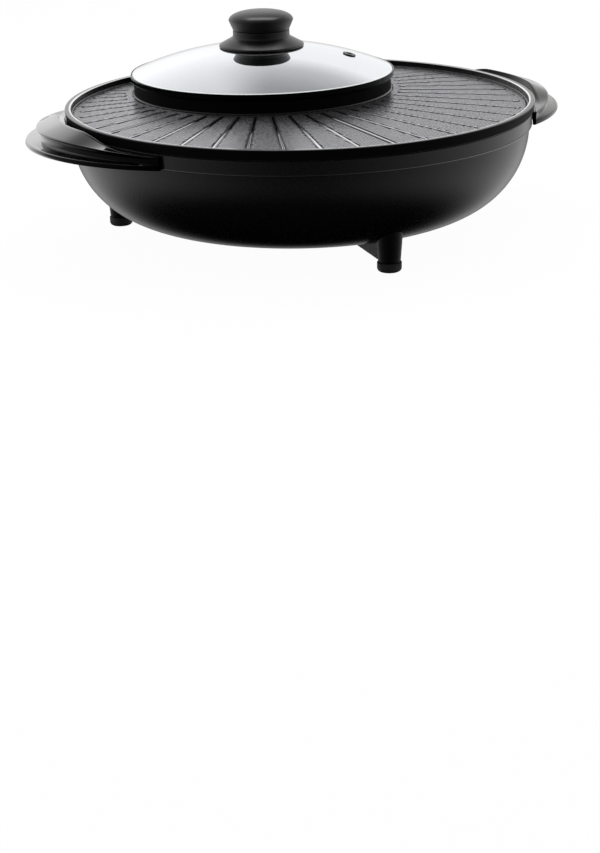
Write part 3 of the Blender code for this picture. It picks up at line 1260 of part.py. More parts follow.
cup_top = dome_height(WASHER_RADIUS, GLASS_WALL) - GAP
cup_floor = cup_top - WASHER_DEPTH
cup_profile = [
    (WASHER_RADIUS - WASHER_WALL, cup_top),
    (WASHER_RADIUS, cup_top),
    (WASHER_RADIUS, cup_floor + WASHER_WALL),
    (WASHER_RADIUS - WASHER_WALL, cup_floor),
    (KNOB_SCREW_RADIUS + GAP, cup_floor),
    (KNOB_SCREW_RADIUS + GAP, cup_floor + WASHER_WALL),
    (WASHER_RADIUS - WASHER_WALL, cup_floor + WASHER_WALL),
]
turned("knob_cup_washer", cup_profile, KNOB_STEPS, STEEL, LID_AXIS)

gasket_profile = [
    (KNOB_SCREW_RADIUS + GAP, DOME_UNDER - 2 * GAP),
    (GASKET_RADIUS, DOME_UNDER - 2 * GAP),
    (GASKET_RADIUS, cup_floor + WASHER_WALL + GAP),
    (KNOB_SCREW_RADIUS + GAP, cup_floor + WASHER_WALL + GAP),
]
turned("knob_gasket", gasket_profile, POST_STEPS, SILICONE, LID_AXIS)

knob_seat = Vector((0.0, 0.0, cup_floor - GAP))
knob_screw_length = cap_base + KNOB_SCREW_DEPTH - knob_seat.z
knob_head = SCREW_HEAD_RADIUS * KNOB_SCREW_RADIUS / SCREW_RADIUS
screw("knob_screw", knob_seat, UP, knob_screw_length, KNOB_SCREW_RADIUS, knob_head, LID_AXIS)
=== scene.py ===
"""A hot pot grill combo, dressed: every piece of it with its finish, and a white studio round it.

Lengths are in metres and angles in degrees. The table is z = 0, the plate's axis is Z, +X points to the right
handle and +Y to the pot.
"""

import math

import bmesh
import bpy
from mathutils import Matrix, Vector


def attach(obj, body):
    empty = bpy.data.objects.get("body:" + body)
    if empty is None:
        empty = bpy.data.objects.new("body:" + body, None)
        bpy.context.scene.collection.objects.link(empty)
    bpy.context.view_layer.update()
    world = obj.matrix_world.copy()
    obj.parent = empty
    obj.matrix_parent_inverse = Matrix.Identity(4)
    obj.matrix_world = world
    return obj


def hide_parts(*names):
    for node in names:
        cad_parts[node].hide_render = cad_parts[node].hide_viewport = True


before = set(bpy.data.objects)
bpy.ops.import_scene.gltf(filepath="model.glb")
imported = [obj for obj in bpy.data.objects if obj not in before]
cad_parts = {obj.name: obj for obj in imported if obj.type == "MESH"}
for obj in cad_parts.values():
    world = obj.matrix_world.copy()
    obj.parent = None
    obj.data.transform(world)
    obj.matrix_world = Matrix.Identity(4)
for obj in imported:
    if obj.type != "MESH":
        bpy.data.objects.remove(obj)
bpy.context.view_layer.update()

# Foot pads
# Rubber cups pushed over the ends of the three feet. They are compression moulded, so they are matt, with
# softly rounded edges, and dust dulls them in patches.
MM = 0.001
FOOT_CIRCLE = 165.0 * MM
FOOT_ANGLES = {"front": 271.2, "rear_right": 31.2, "rear_left": 151.2}
PAD_RADIUS = 10.2 * MM
PAD_HEIGHT = 8.0 * MM
PAD_TOP_EDGE = 0.6 * MM
PAD_BOTTOM_EDGE = 3.0 * MM
PAD_STEPS = 48
SPIGOT_RADIUS = 5.3 * MM
SPIGOT_LENGTH = 4.0 * MM
SMALLEST = 0.001 * MM
CORNER_SEGMENTS = 4
SMOOTH_ANGLE = math.radians(38.0)
NOISE_SPREAD = (0.3, 0.7)
FINE_DETAIL = 4.0
RUBBER = {"colour": "#141414", "rough": (0.6, 0.85), "grain": 6.0 * MM, "relief": 0.05 * MM}


def choose(kind, wanted):
    """In edit mode, selects the verts, edges or faces that pass a test, and nothing else."""
    bpy.ops.mesh.select_mode(type={"verts": "VERT", "edges": "EDGE", "faces": "FACE"}[kind])
    bpy.ops.mesh.select_all(action="DESELECT")
    shape = bmesh.from_edit_mesh(bpy.context.edit_object.data)
    for item in getattr(shape, kind):
        if wanted(item):
            item.select_set(True)
    bmesh.update_edit_mesh(bpy.context.edit_object.data)


def first_point(name, place):
    """Opens a new piece in edit mode: a plane drawn together into one point at a place."""
    bpy.ops.object.select_all(action="DESELECT")
    bpy.ops.mesh.primitive_plane_add(size=1.0)
    piece = bpy.context.object
    piece.name = name
    bpy.ops.object.mode_set(mode="EDIT")
    bpy.ops.mesh.select_mode(type="VERT")
    bpy.ops.mesh.select_all(action="SELECT")
    bpy.ops.mesh.merge(type="CENTER")
    bpy.ops.transform.translate(value=place)
    return piece


def draw_line(points):
    """Extrudes the point that is selected along the rest of a line of points."""
    for before, after in zip(points, points[1:]):
        step = Vector(after) - Vector(before)
        bpy.ops.mesh.extrude_region_move(TRANSFORM_OT_translate={"value": step})


def close_line(points):
    """Joins the last point of a line to its first."""
    ends = (Vector(points[0]), Vector(points[-1]))
    choose("verts", lambda vertex: min((vertex.co - end).length for end in ends) < SMALLEST)
    bpy.ops.mesh.edge_face_add()


def face_outwards():
    """In edit mode, turns every face of a piece outwards, and goes back to object mode."""
    bpy.ops.mesh.select_all(action="SELECT")
    bpy.ops.mesh.normals_make_consistent(inside=False)
    bpy.ops.object.mode_set(mode="OBJECT")


def select_only(piece):
    """Makes a piece the active one, and the only one that is selected."""
    bpy.ops.object.select_all(action="DESELECT")
    bpy.context.view_layer.objects.active = piece
    piece.select_set(True)


def apply_modifier(piece, kind, **settings):
    """Adds a modifier to a piece, sets it and applies it."""
    select_only(piece)
    bpy.ops.object.modifier_add(type=kind)
    modifier = piece.modifiers[-1]
    for setting, value in settings.items():
        setattr(modifier, setting, value)
    bpy.ops.object.modifier_apply(modifier=modifier.name)


def turned(name, outline, steps, centre=(0.0, 0.0)):
    """Draws an outline of (radius, height, corner size), rounds its corners and spins it about a centre."""
    points = [Vector((centre[0] + radius, centre[1], height)) for radius, height, _ in outline]
    piece = first_point(name, points[0])
    draw_line(points)
    if outline[0][0] > 0.0:
        close_line(points)
    for size in sorted({corner for _, _, corner in outline if corner}):
        spots = [point for point, (_, _, corner) in zip(points, outline) if corner == size]
        choose("verts", lambda vertex: min((vertex.co - spot).length for spot in spots) < SMALLEST)
        bpy.ops.mesh.bevel(offset=size, affect="VERTICES", segments=CORNER_SEGMENTS)
    bpy.ops.mesh.select_all(action="SELECT")
    bpy.ops.mesh.spin(steps=steps, angle=2 * math.pi, center=(*centre, 0.0), axis=(0.0, 0.0, 1.0))
    bpy.ops.mesh.select_all(action="SELECT")
    bpy.ops.mesh.remove_doubles(threshold=SMALLEST)
    face_outwards()
    return piece


def hex_colour(code):
    """The linear colour of an sRGB hex code."""
    values = [int(code[place : place + 2], 16) / 255.0 for place in (1, 3, 5)]
    linear = [value / 12.92 if value <= 0.04045 else ((value + 0.055) / 1.055) ** 2.4 for value in values]
    return (*linear, 1.0)


def add_node(tree, kind, inputs=None, **settings):
    """Adds a shader node to a tree, with its settings, and its inputs as values or as links."""
    node = tree.nodes.new("ShaderNode" + kind)
    for setting, value in settings.items():
        setattr(node, setting, value)
    for socket, value in (inputs or {}).items():
        if isinstance(value, bpy.types.NodeSocket):
            tree.links.new(value, node.inputs[socket])
        else:
            node.inputs[socket].default_value = value
    return node


def ramp(tree, value, start, end, low=0.0, high=1.0, **settings):
    """A value spread from a start and an end over to a low and a high one."""
    inputs = {"Value": value, "From Min": start, "From Max": end, "To Min": low, "To Max": high}
    return add_node(tree, "MapRange", inputs, **settings).outputs["Result"]


def shader_of(material):
    """The Principled shader of a material."""
    return material.node_tree.nodes["Principled BSDF"]


def feed(material, socket, value):
    """Links a value to an input of a material's shader."""
    material.node_tree.links.new(value, shader_of(material).inputs[socket])


def object_place(tree):
    """The place on a piece, in metres from the plate's axis at the table."""
    return add_node(tree, "TexCoord").outputs["Object"]


def finish(name, colour, rough, grain=0.0, relief=0.0, detail=FINE_DETAIL, **inputs):
    """A new material, with any further inputs of its shader.

    Noise as wide as its grain spreads its roughness between two values, and stands up by its relief.
    """
    material = bpy.data.materials.new(name)
    material.use_nodes = True
    tree = material.node_tree
    for socket, value in {"Base Color": hex_colour(colour), "Roughness": rough[0], **inputs}.items():
        shader_of(material).inputs[socket].default_value = value
    if grain:
        noise_inputs = {"Vector": object_place(tree), "Scale": 1.0 / grain, "Detail": detail}
        noise = add_node(tree, "TexNoise", noise_inputs).outputs["Fac"]
        feed(material, "Roughness", ramp(tree, noise, *NOISE_SPREAD, *rough))
    if relief:
        height = {"Height": noise, "Distance": relief, "Strength": 1.0}
        feed(material, "Normal", add_node(tree, "Bump", height).outputs["Normal"])
    return material


def clad(piece, material):
    """Shades a finished piece smooth, but for its sharp edges and flat faces, and gives it its material."""
    select_only(piece)
    bpy.ops.object.shade_smooth_by_angle(angle=SMOOTH_ANGLE)
    apply_modifier(piece, "WEIGHTED_NORMAL", keep_sharp=True)
    piece.data.materials.append(material)


def dress(piece, body, slot, *nodes):
    """Hands a finished piece to its body and hides the nodes that it stands for. Its slot is not used."""
    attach(piece, body)
    if nodes:
        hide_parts(*nodes)


def polar(radius, angle, height=0.0):
    """A point at a radius and an angle about the plate's axis."""
    turn = math.radians(angle)
    return Vector((radius * math.cos(turn), radius * math.sin(turn), height))


# Compression moulded rubber scatters light evenly, and dust and handling leave it blotchy.
rubber = finish("moulded_black_rubber", **RUBBER)

pad_outline = [
    (0.0, PAD_HEIGHT - SPIGOT_LENGTH, 0.0),
    (SPIGOT_RADIUS, PAD_HEIGHT - SPIGOT_LENGTH, 0.0),
    (SPIGOT_RADIUS, PAD_HEIGHT, 0.0),
    (PAD_RADIUS, PAD_HEIGHT, PAD_TOP_EDGE),
    (PAD_RADIUS, 0.0, PAD_BOTTOM_EDGE),
    (0.0, 0.0, 0.0),
]
for name, angle in FOOT_ANGLES.items():
    pad = turned("rubber_pad_" + name, pad_outline, PAD_STEPS, polar(FOOT_CIRCLE, angle)[:2])
    clad(pad, rubber)
    dress(pad, "cooker", "pad_rubber", "foot_pad_" + name)


# Body shell
# A bowl deep drawn from steel sheet, with a plain band rolled in above the seam step. It carries a satin
# black heat-proof paint, sprayed, so close up the surface has a faint orange peel.
SHELL_STEPS = 192
BODY_BOTTOM = 17.0 * MM
SHELL_TOP = 104.9 * MM
SEAM_HEIGHT = 92.75 * MM
BAND_TOP_RADIUS = 203.0 * MM
BAND_RADIUS = 202.6 * MM
BELLY_RADIUS = 200.7 * MM
FLAT_RADIUS = 126.35 * MM
OPENING_RADIUS = 95.0 * MM
SHELL_WALL = 1.5 * MM
SEAM_EDGE = 0.7 * MM
SEAM_BEAD = 0.3 * MM
BEAD_HEIGHT = 1.2 * MM
BELLY_POWER = 2.05
BELLY_STEPS = 40
GAP = 0.3 * MM
PAINT = {"colour": "#050505", "rough": (0.255, 0.275), "grain": 2.5 * MM, "relief": 0.002 * MM, "detail": 1.0}
# The seam's coat is a painted highlight.
SEAM_HIGHLIGHT_PAINT = {"colour": "#6C6D6F", "rough": (0.26, 0.34), "grain": 2.5 * MM, "Metallic": 1.0}


def quarter(steps):
    """The cosine and the sine at every step of a quarter turn."""
    turns = [math.pi / 2 * step / steps for step in range(steps + 1)]
    return [(max(math.cos(turn), 0.0), math.sin(turn)) for turn in turns]


def belly(offset):
    """The bowl's outline from the seam to its flat bottom, moved out by an offset, with sharp corners."""
    width = BELLY_RADIUS - FLAT_RADIUS
    depth = SEAM_HEIGHT - BODY_BOTTOM
    slope = BELLY_POWER - 1
    line = []
    for cosine, sine in quarter(BELLY_STEPS):
        across = cosine ** (2 / BELLY_POWER)
        down = sine ** (2 / BELLY_POWER)
        normal = Vector((across**slope / width, -(down**slope) / depth)).normalized()
        radius = FLAT_RADIUS + width * across + normal.x * offset
        line.append((radius, SEAM_HEIGHT - depth * down + normal.y * offset, 0.0))
    return line


def boolean(piece, cutter, operation):
    """Cuts a cutter from a piece or joins it to the piece, and removes the cutter."""
    apply_modifier(piece, "BOOLEAN", operation=operation, solver="EXACT", object=cutter)
    bpy.data.objects.remove(cutter)


shell_outline = [
    (BAND_TOP_RADIUS, SHELL_TOP, SHELL_WALL / 3),
    (BAND_RADIUS, SEAM_HEIGHT + BEAD_HEIGHT, 0.0),
    (BAND_RADIUS + SEAM_BEAD, SEAM_HEIGHT + BEAD_HEIGHT - SMALLEST, 0.0),
    (BAND_RADIUS + SEAM_BEAD, SEAM_HEIGHT, SEAM_EDGE),
    *belly(0.0),
    (OPENING_RADIUS, BODY_BOTTOM, SHELL_WALL / 3),
    (OPENING_RADIUS, BODY_BOTTOM + SHELL_WALL, SHELL_WALL / 3),
    *reversed(belly(-SHELL_WALL)),
    (BELLY_RADIUS - SHELL_WALL, SEAM_HEIGHT + SHELL_WALL, 0.0),
    (BAND_RADIUS - SHELL_WALL, SEAM_HEIGHT + SHELL_WALL, 0.0),
    (BAND_TOP_RADIUS - SHELL_WALL, SHELL_TOP, SHELL_WALL / 3),
]
shell = turned("drawn_shell", shell_outline, SHELL_STEPS)

SOCKET_ANGLE = 45.0
SOCKET_HEIGHT = 65.0 * MM
SOCKET_FACE = 201.5 * MM
SOCKET_BODY_WIDTH = 44.0 * MM
SOCKET_BODY_HEIGHT = 26.0 * MM
CUT_DEPTH = 40.0 * MM


def turned_by(angle):
    """The matrix of a turn about the plate's axis."""
    return Matrix.Rotation(math.radians(angle), 4, "Z")


def block(name, size, centre, angle=0.0):
    """A block of a size about a centre, turned about the plate's axis."""
    bpy.ops.object.select_all(action="DESELECT")
    bpy.ops.mesh.primitive_cube_add(size=1.0)
    piece = bpy.context.object
    piece.name = name
    piece.matrix_world = turned_by(angle) @ Matrix.Translation(centre) @ Matrix.Diagonal((*size, 1.0))
    bpy.ops.object.transform_apply(location=True, rotation=True, scale=True)
    return piece


window_size = (CUT_DEPTH, SOCKET_BODY_WIDTH + 2 * GAP, SOCKET_BODY_HEIGHT + 2 * GAP)
window = block("window", window_size, (SOCKET_FACE, 0.0, SOCKET_HEIGHT), SOCKET_ANGLE)
boolean(shell, window, "DIFFERENCE")

# Sprayed heat-proof paint: satin, with the fine ripple that it dries to.
paint = finish("satin_black_paint", **PAINT)
clad(shell, paint)


def coat(piece, material, wanted):
    """Gives a further material to the faces that pass a test."""
    piece.data.materials.append(material)
    select_only(piece)
    bpy.ops.object.mode_set(mode="EDIT")
    choose("faces", wanted)
    piece.active_material_index = len(piece.data.materials) - 1
    bpy.ops.object.material_slot_assign()
    bpy.ops.object.mode_set(mode="OBJECT")


def off_axis(point, axis_y=0.0):
    """How far a point is from the plate's axis, or from an upright one at a y."""
    return math.hypot(point.x, point.y - axis_y)


def on_seam(face):
    """Whether a face of the shell belongs to the seam's bead or to the round of its edges."""
    centre = face.calc_center_median()
    on_bead = -SEAM_BEAD < centre.z - SEAM_HEIGHT < BEAD_HEIGHT
    return on_bead and off_axis(centre) > BAND_RADIUS - SHELL_WALL / 2


# On the seam's bead a lighter metal coat is a painted highlight.
coat(shell, finish("seam_painted_highlight", **SEAM_HIGHLIGHT_PAINT), on_seam)
dress(shell, "cooker", "shell_paint", "body_shell")


# Feet
# Three moulded phenolic posts, each with a flat web that runs in under the bowl and stiffens it. A screw from
# inside the bowl holds each foot, so none shows.
FOOT_TOP_RADIUS = 11.4 * MM
FOOT_BOTTOM_RADIUS = 9.3 * MM
FOOT_TOP = 37.5 * MM
WEB_THICKNESS = 14.0 * MM
WEB_INNER_RADIUS = 111.0 * MM
WEB_TOE = 5.0 * MM
WEB_EDGE = 1.2 * MM
EDGE_SEGMENTS = 3
PHENOLIC = {
    "colour": "#040404",
    "rough": (0.36, 0.5),
    "grain": 2.5 * MM,
    "relief": 0.02 * MM,
    "Specular IOR Level": 0.12,
}


def flat_plate(name, points, thickness):
    """Draws a closed outline, fills it and extrudes it to a thickness given as a vector."""
    piece = first_point(name, points[0])
    draw_line(points)
    close_line(points)
    bpy.ops.mesh.select_all(action="SELECT")
    bpy.ops.mesh.edge_face_add()
    bpy.ops.mesh.extrude_region_move(TRANSFORM_OT_translate={"value": thickness})
    face_outwards()
    return piece


def shell_space():
    """The space that the bowl takes up, with its clearance."""
    outline = [(0.0, SHELL_TOP, 0.0), (BELLY_RADIUS + GAP, SHELL_TOP, 0.0), *belly(GAP)]
    outline.append((0.0, BODY_BOTTOM - GAP, 0.0))
    return turned("shell_space", outline, SHELL_STEPS)


# Moulded phenolic: hard and a little shiny, with the faint drag marks of its mould.
foot_plastic = finish("moulded_phenolic", **PHENOLIC)

foot_bottom = PAD_HEIGHT + GAP
foot_outline = [
    (0.0, FOOT_TOP, 0.0),
    (FOOT_TOP_RADIUS, FOOT_TOP, 0.0),
    (FOOT_BOTTOM_RADIUS, foot_bottom, PAD_TOP_EDGE),
    (SPIGOT_RADIUS - GAP, foot_bottom, 0.0),
    (SPIGOT_RADIUS - GAP, foot_bottom - SPIGOT_LENGTH, 0.0),
    (0.0, foot_bottom - SPIGOT_LENGTH, 0.0),
]
for name, angle in FOOT_ANGLES.items():
    foot = turned("moulded_foot_" + name, foot_outline, PAD_STEPS, (FOOT_CIRCLE, 0.0))
    side = -WEB_THICKNESS / 2
    web_corners = [
        (FOOT_CIRCLE, side, foot_bottom),
        (FOOT_CIRCLE, side, FOOT_TOP),
        (WEB_INNER_RADIUS, side, FOOT_TOP),
        (WEB_INNER_RADIUS, side, BODY_BOTTOM - WEB_TOE),
        (FOOT_CIRCLE - FOOT_BOTTOM_RADIUS, side, foot_bottom),
    ]
    web = flat_plate("web", web_corners, (0.0, WEB_THICKNESS, 0.0))
    apply_modifier(web, "BEVEL", width=WEB_EDGE, segments=EDGE_SEGMENTS)
    boolean(foot, web, "UNION")
    boolean(foot, shell_space(), "DIFFERENCE")
    foot.data.transform(turned_by(angle))
    clad(foot, foot_plastic)
    dress(foot, "cooker", "satin_phenolic", "foot_" + name)


# Bottom cover
# A disc of painted sheet, dished up into the opening under the bowl, with a ring of punched air slots and
# three screws in its flat rim.
COVER_RADIUS = 104.0 * MM
COVER_TOP = BODY_BOTTOM - GAP
COVER_WALL = 1.5 * MM
COVER_DISH = 4.0 * MM
COVER_BEND = 2.5 * MM
SLOT_COUNT = 12
SLOT_CIRCLE = 58.0 * MM
SLOT_LENGTH = 30.0 * MM
SLOT_WIDTH = 5.0 * MM
SLOT_STEPS = 8

dish_radius = OPENING_RADIUS - COVER_DISH
cover_outline = [
    (0.0, COVER_TOP + COVER_DISH, 0.0),
    (dish_radius - COVER_DISH, COVER_TOP + COVER_DISH, COVER_BEND),
    (dish_radius, COVER_TOP, COVER_BEND / 2),
    (COVER_RADIUS, COVER_TOP, COVER_WALL / 3),
    (COVER_RADIUS, COVER_TOP - COVER_WALL, COVER_WALL / 3),
    (dish_radius - COVER_WALL, COVER_TOP - COVER_WALL, COVER_BEND),
    (dish_radius - COVER_DISH - COVER_WALL, COVER_TOP + COVER_DISH - COVER_WALL, COVER_BEND / 2),
    (0.0, COVER_TOP + COVER_DISH - COVER_WALL, 0.0),
]
cover = turned("slotted_cover", cover_outline, SHELL_STEPS // 2)
for number in range(SLOT_COUNT):
    slot_angle = 360.0 * number / SLOT_COUNT
    corners = []
    for step in range(2 * SLOT_STEPS + 2):
        outer = step <= SLOT_STEPS
        turn = -90.0 + 180.0 * (step if outer else step - 1) / SLOT_STEPS
        middle = SLOT_CIRCLE + (1 if outer else -1) * (SLOT_LENGTH - SLOT_WIDTH) / 2
        round_end = polar(SLOT_WIDTH / 2, turn + slot_angle, COVER_TOP - 2 * COVER_WALL)
        corners.append(polar(1.0, slot_angle) * middle + round_end)
    boolean(cover, flat_plate("slot", corners, (0.0, 0.0, CUT_DEPTH / 2)), "DIFFERENCE")
clad(cover, paint)
dress(cover, "cooker", "shell_paint", "bottom_cover")


# Screws
# Zinc plated pan head screws with a cross recess. The cover's, the socket's and the heads of the post screws
# show from outside, and the rest keep their plain solids under the same plating.
HEAD_RADIUS = 3.6 * MM
HEAD_HEIGHT = 2.2 * MM
HEAD_EDGE = 0.9 * MM
SHANK_RADIUS = 1.8 * MM
SHANK_TIP = 1.6 * MM
RECESS_WIDTH = 0.9 * MM
RECESS_LENGTH = 4.0 * MM
RECESS_DEPTH = 1.3 * MM
SCREW_STEPS = 32
COVER_SCREWS = {"cover_screw_1": 90.0, "cover_screw_2": 210.0, "cover_screw_3": 330.0}
COVER_SCREW_CIRCLE = 99.5 * MM
COVER_SCREW_LENGTH = 8.0 * MM
POST_SCREWS = {"left": 200.0, "front_left": 245.0, "front_right": 295.0, "right": 340.0}
POST_CIRCLE = 117.0 * MM
POST_SCREW_LENGTH = 87.2 * MM
SOCKET_SCREW_OFFSET = 27.0 * MM
SOCKET_SCREW_LENGTH = 14.0 * MM
SOCKET_SCREW_RECESS = 2.8 * MM
ZINC = {"colour": "#B9B8B2", "rough": (0.28, 0.45), "grain": 1.2 * MM, "Metallic": 1.0}

# Zinc plating over steel: a soft grey metal with a slightly cloudy gloss.
zinc = finish("zinc_plating", **ZINC)


def lean_along(direction, axis="Z"):
    """The matrix that turns an axis of a piece along a direction."""
    return direction.to_track_quat(axis, "Y").to_matrix().to_4x4()


def screw(name, length, seat, direction, node):
    """A pan head screw on its seat, with its shank along a direction, in place of a node."""
    outline = [
        (0.0, HEAD_HEIGHT, 0.0),
        (HEAD_RADIUS, HEAD_HEIGHT, HEAD_EDGE),
        (HEAD_RADIUS, 0.0, 0.0),
        (SHANK_RADIUS, 0.0, 0.0),
        (SHANK_RADIUS, SHANK_TIP - length, 0.0),
        (0.0, -length, 0.0),
    ]
    item = turned(name, outline, SCREW_STEPS)
    cross = block("cross", (RECESS_LENGTH, RECESS_WIDTH, 2 * RECESS_DEPTH), (0.0, 0.0, HEAD_HEIGHT))
    arm = block("arm", (RECESS_WIDTH, RECESS_LENGTH, 2 * RECESS_DEPTH), (0.0, 0.0, HEAD_HEIGHT))
    boolean(cross, arm, "UNION")
    boolean(item, cross, "DIFFERENCE")
    item.data.transform(Matrix.Translation(seat) @ lean_along(direction, "-Z"))
    clad(item, zinc)
    dress(item, "cooker", "screw_steel", node)


up = Vector((0.0, 0.0, 1.0))
for node, angle in COVER_SCREWS.items():
    seat = polar(COVER_SCREW_CIRCLE, angle, COVER_TOP - COVER_WALL - GAP)
    screw("plated_" + node, COVER_SCREW_LENGTH, seat, up, node)
for name, angle in POST_SCREWS.items():
    seat = polar(POST_CIRCLE, angle, BODY_BOTTOM - GAP)
    screw("plated_post_screw_" + name, POST_SCREW_LENGTH, seat, up, "support_screw_" + name)
socket_out = polar(1.0, SOCKET_ANGLE)
socket_side = polar(1.0, SOCKET_ANGLE + 90.0)
for name, side in (("left", -1.0), ("right", 1.0)):
    depth = SOCKET_FACE - SOCKET_SCREW_RECESS + GAP
    seat = socket_out * depth + socket_side * SOCKET_SCREW_OFFSET * side + up * SOCKET_HEIGHT
    screw("plated_socket_screw_" + name, SOCKET_SCREW_LENGTH, seat, -socket_out, "socket_screw_" + name)


def recoat(node, material):
    """Gives a material to a piece that keeps its plain solid."""
    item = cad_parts[node]
    item.data.materials.clear()
    item.data.materials.append(material)


for node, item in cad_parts.items():
    if "_screw" in node and not item.hide_render:
        recoat(node, zinc)


# Controller socket
# A heat-proof moulding let into the right rear of the bowl: a bezel that follows the bowl, a box through the
# wall with two nickelled pins, and between them the bright tube that takes the controller's probe.
BEZEL_WIDTH = 64.0 * MM
BEZEL_HEIGHT = 30.0 * MM
BEZEL_DEPTH = 18.0 * MM
BEZEL_CORNER = 4.0 * MM
BEZEL_EDGE = 1.0 * MM
CAVITY_WIDTH = 40.0 * MM
CAVITY_HEIGHT = 22.0 * MM
CAVITY_DEPTH = 16.0 * MM
SOCKET_BACK = 3.0 * MM
PIN_OFFSET = 14.0 * MM
PIN_RADIUS = 2.4 * MM
PIN_ROUND = 1.6 * MM
PIN_SETBACK = 2.0 * MM
PIN_TAIL = 8.0 * MM
ROUND_SEGMENTS = 6
SOCKET_PLASTIC = {"colour": "#101010", "rough": (0.45, 0.58), "grain": 0.8 * MM, "relief": 0.01 * MM}
NICKEL = {"colour": "#C9C4B6", "rough": (0.15, 0.28), "grain": 0.7 * MM, "Metallic": 1.0}
SLEEVE_STEEL = {"colour": "#B4B5B8", "rough": (0.2, 0.34), "grain": 0.9 * MM, "Metallic": 1.0}


def rounded_block(name, size, centre, angle, corner, front_edge):
    """A block with its edges along X rounded and its front edges softened, turned to an angle."""
    piece = block(name, size, centre)
    bpy.ops.object.mode_set(mode="EDIT")
    choose("edges", lambda edge: abs(edge.verts[0].co.x - edge.verts[1].co.x) > size[0] / 2)
    bpy.ops.mesh.bevel(offset=corner, segments=ROUND_SEGMENTS, affect="EDGES")
    front = centre[0] + size[0] / 2
    choose("edges", lambda edge: min(vertex.co.x for vertex in edge.verts) > front - SMALLEST)
    bpy.ops.mesh.bevel(offset=front_edge, segments=EDGE_SEGMENTS, affect="EDGES")
    bpy.ops.object.mode_set(mode="OBJECT")
    piece.data.transform(turned_by(angle))
    return piece


def socket_rod(name, radius, start, end, across, edge):
    """A round bar along the socket's direction, with a rounded outer end."""
    outline = [(0.0, end, 0.0), (radius, end, edge), (radius, start, 0.0), (0.0, start, 0.0)]
    rod = turned(name, outline, SCREW_STEPS)
    place = socket_side * across + up * SOCKET_HEIGHT
    rod.data.transform(Matrix.Translation(place) @ lean_along(socket_out))
    return rod


socket_floor = SOCKET_FACE - CAVITY_DEPTH
socket_rear = socket_floor - SOCKET_BACK
bezel_size = (BEZEL_DEPTH, BEZEL_WIDTH, BEZEL_HEIGHT)
bezel_centre = (SOCKET_FACE - BEZEL_DEPTH / 2, 0.0, SOCKET_HEIGHT)
housing = rounded_block("moulded_socket", bezel_size, bezel_centre, SOCKET_ANGLE, BEZEL_CORNER, BEZEL_EDGE)
boolean(housing, shell_space(), "DIFFERENCE")
body_front = SOCKET_FACE - BEZEL_EDGE
body_size = (body_front - socket_rear, SOCKET_BODY_WIDTH, SOCKET_BODY_HEIGHT)
body_centre = ((body_front + socket_rear) / 2, 0.0, SOCKET_HEIGHT)
boolean(housing, block("socket_body", body_size, body_centre, SOCKET_ANGLE), "UNION")
cavity_size = (CAVITY_DEPTH + BEZEL_DEPTH, CAVITY_WIDTH, CAVITY_HEIGHT)
cavity_centre = (socket_floor + (CAVITY_DEPTH + BEZEL_DEPTH) / 2, 0.0, SOCKET_HEIGHT)
cavity_corner = BEZEL_CORNER / 2
cavity = rounded_block("socket_cavity", cavity_size, cavity_centre, SOCKET_ANGLE, cavity_corner, BEZEL_EDGE)
boolean(housing, cavity, "DIFFERENCE")
for side in (-1.0, 1.0):
    across = SOCKET_SCREW_OFFSET * side
    start = SOCKET_FACE - SOCKET_SCREW_RECESS
    recess = socket_rod("recess", HEAD_RADIUS + GAP, start, start + CUT_DEPTH, across, 0.0)
    boolean(housing, recess, "DIFFERENCE")
    bore_end = SOCKET_FACE - SOCKET_SCREW_RECESS / 2
    bore = socket_rod("bore", SHANK_RADIUS + GAP, socket_rear - CUT_DEPTH / 2, bore_end, across, 0.0)
    boolean(housing, bore, "DIFFERENCE")

# Heat-proof moulding: matt, with a fine even grain.
clad(housing, finish("heat_proof_moulding", **SOCKET_PLASTIC))
dress(housing, "cooker", "socket_plastic", "socket_housing")

# Bright nickel on brass, with fine turning marks that spread its highlights.
nickel = finish("nickelled_brass", **NICKEL)
for name, side in (("left", -1.0), ("right", 1.0)):
    pin_start = socket_rear - PIN_TAIL
    pin_end = SOCKET_FACE - PIN_SETBACK
    pin = socket_rod("nickelled_pin_" + name, PIN_RADIUS, pin_start, pin_end, PIN_OFFSET * side, PIN_ROUND)
    clad(pin, nickel)
    dress(pin, "cooker", "contact_metal", "socket_pin_" + name)

# Drawn stainless tube, brushed round.
recoat("probe_sleeve", finish("drawn_stainless_tube", **SLEEVE_STEEL))


# Inner parts
# The hidden works keep their solids: two sheathed elements clamped under the casting, a reflector sheet on
# four posts, and sleeved leads from the socket's pins. They show only through the cover's slots.
SHEET_STEEL = {"colour": "#A9ABAD", "rough": (0.3, 0.5), "grain": 3.0 * MM, "Metallic": 1.0}
REFLECTOR = {"colour": "#B8B9BB", "rough": (0.2, 0.35), "grain": 3.0 * MM, "Metallic": 1.0}
SHEATH = {"colour": "#6C6A66", "rough": (0.42, 0.6), "grain": 3.0 * MM, "relief": 0.02 * MM, "Metallic": 1.0}
SLEEVE_CLOTH = {"colour": "#B8B2A2", "rough": (0.8, 0.95), "grain": 0.6 * MM, "relief": 0.1 * MM}

# The elements' annealed sheath is dull from its heat treatment. The clamps and posts are zinc coated sheet,
# with its spangle as soft patches, the reflector is rolled bright, and the sleeves are braided glass fibre.
sheet = finish("zinc_coated_sheet", **SHEET_STEEL)
INNER_FINISHES = {
    "heating_element": finish("annealed_sheath", **SHEATH),
    "_clamp": sheet,
    "support_post": sheet,
    "reflector": finish("aluminised_sheet", **REFLECTOR),
    "_lead_": finish("braided_glass_fibre", **SLEEVE_CLOTH),
}
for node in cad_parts:
    for part, material in INNER_FINISHES.items():
        if part in node and "screw" not in node:
            recoat(node, material)


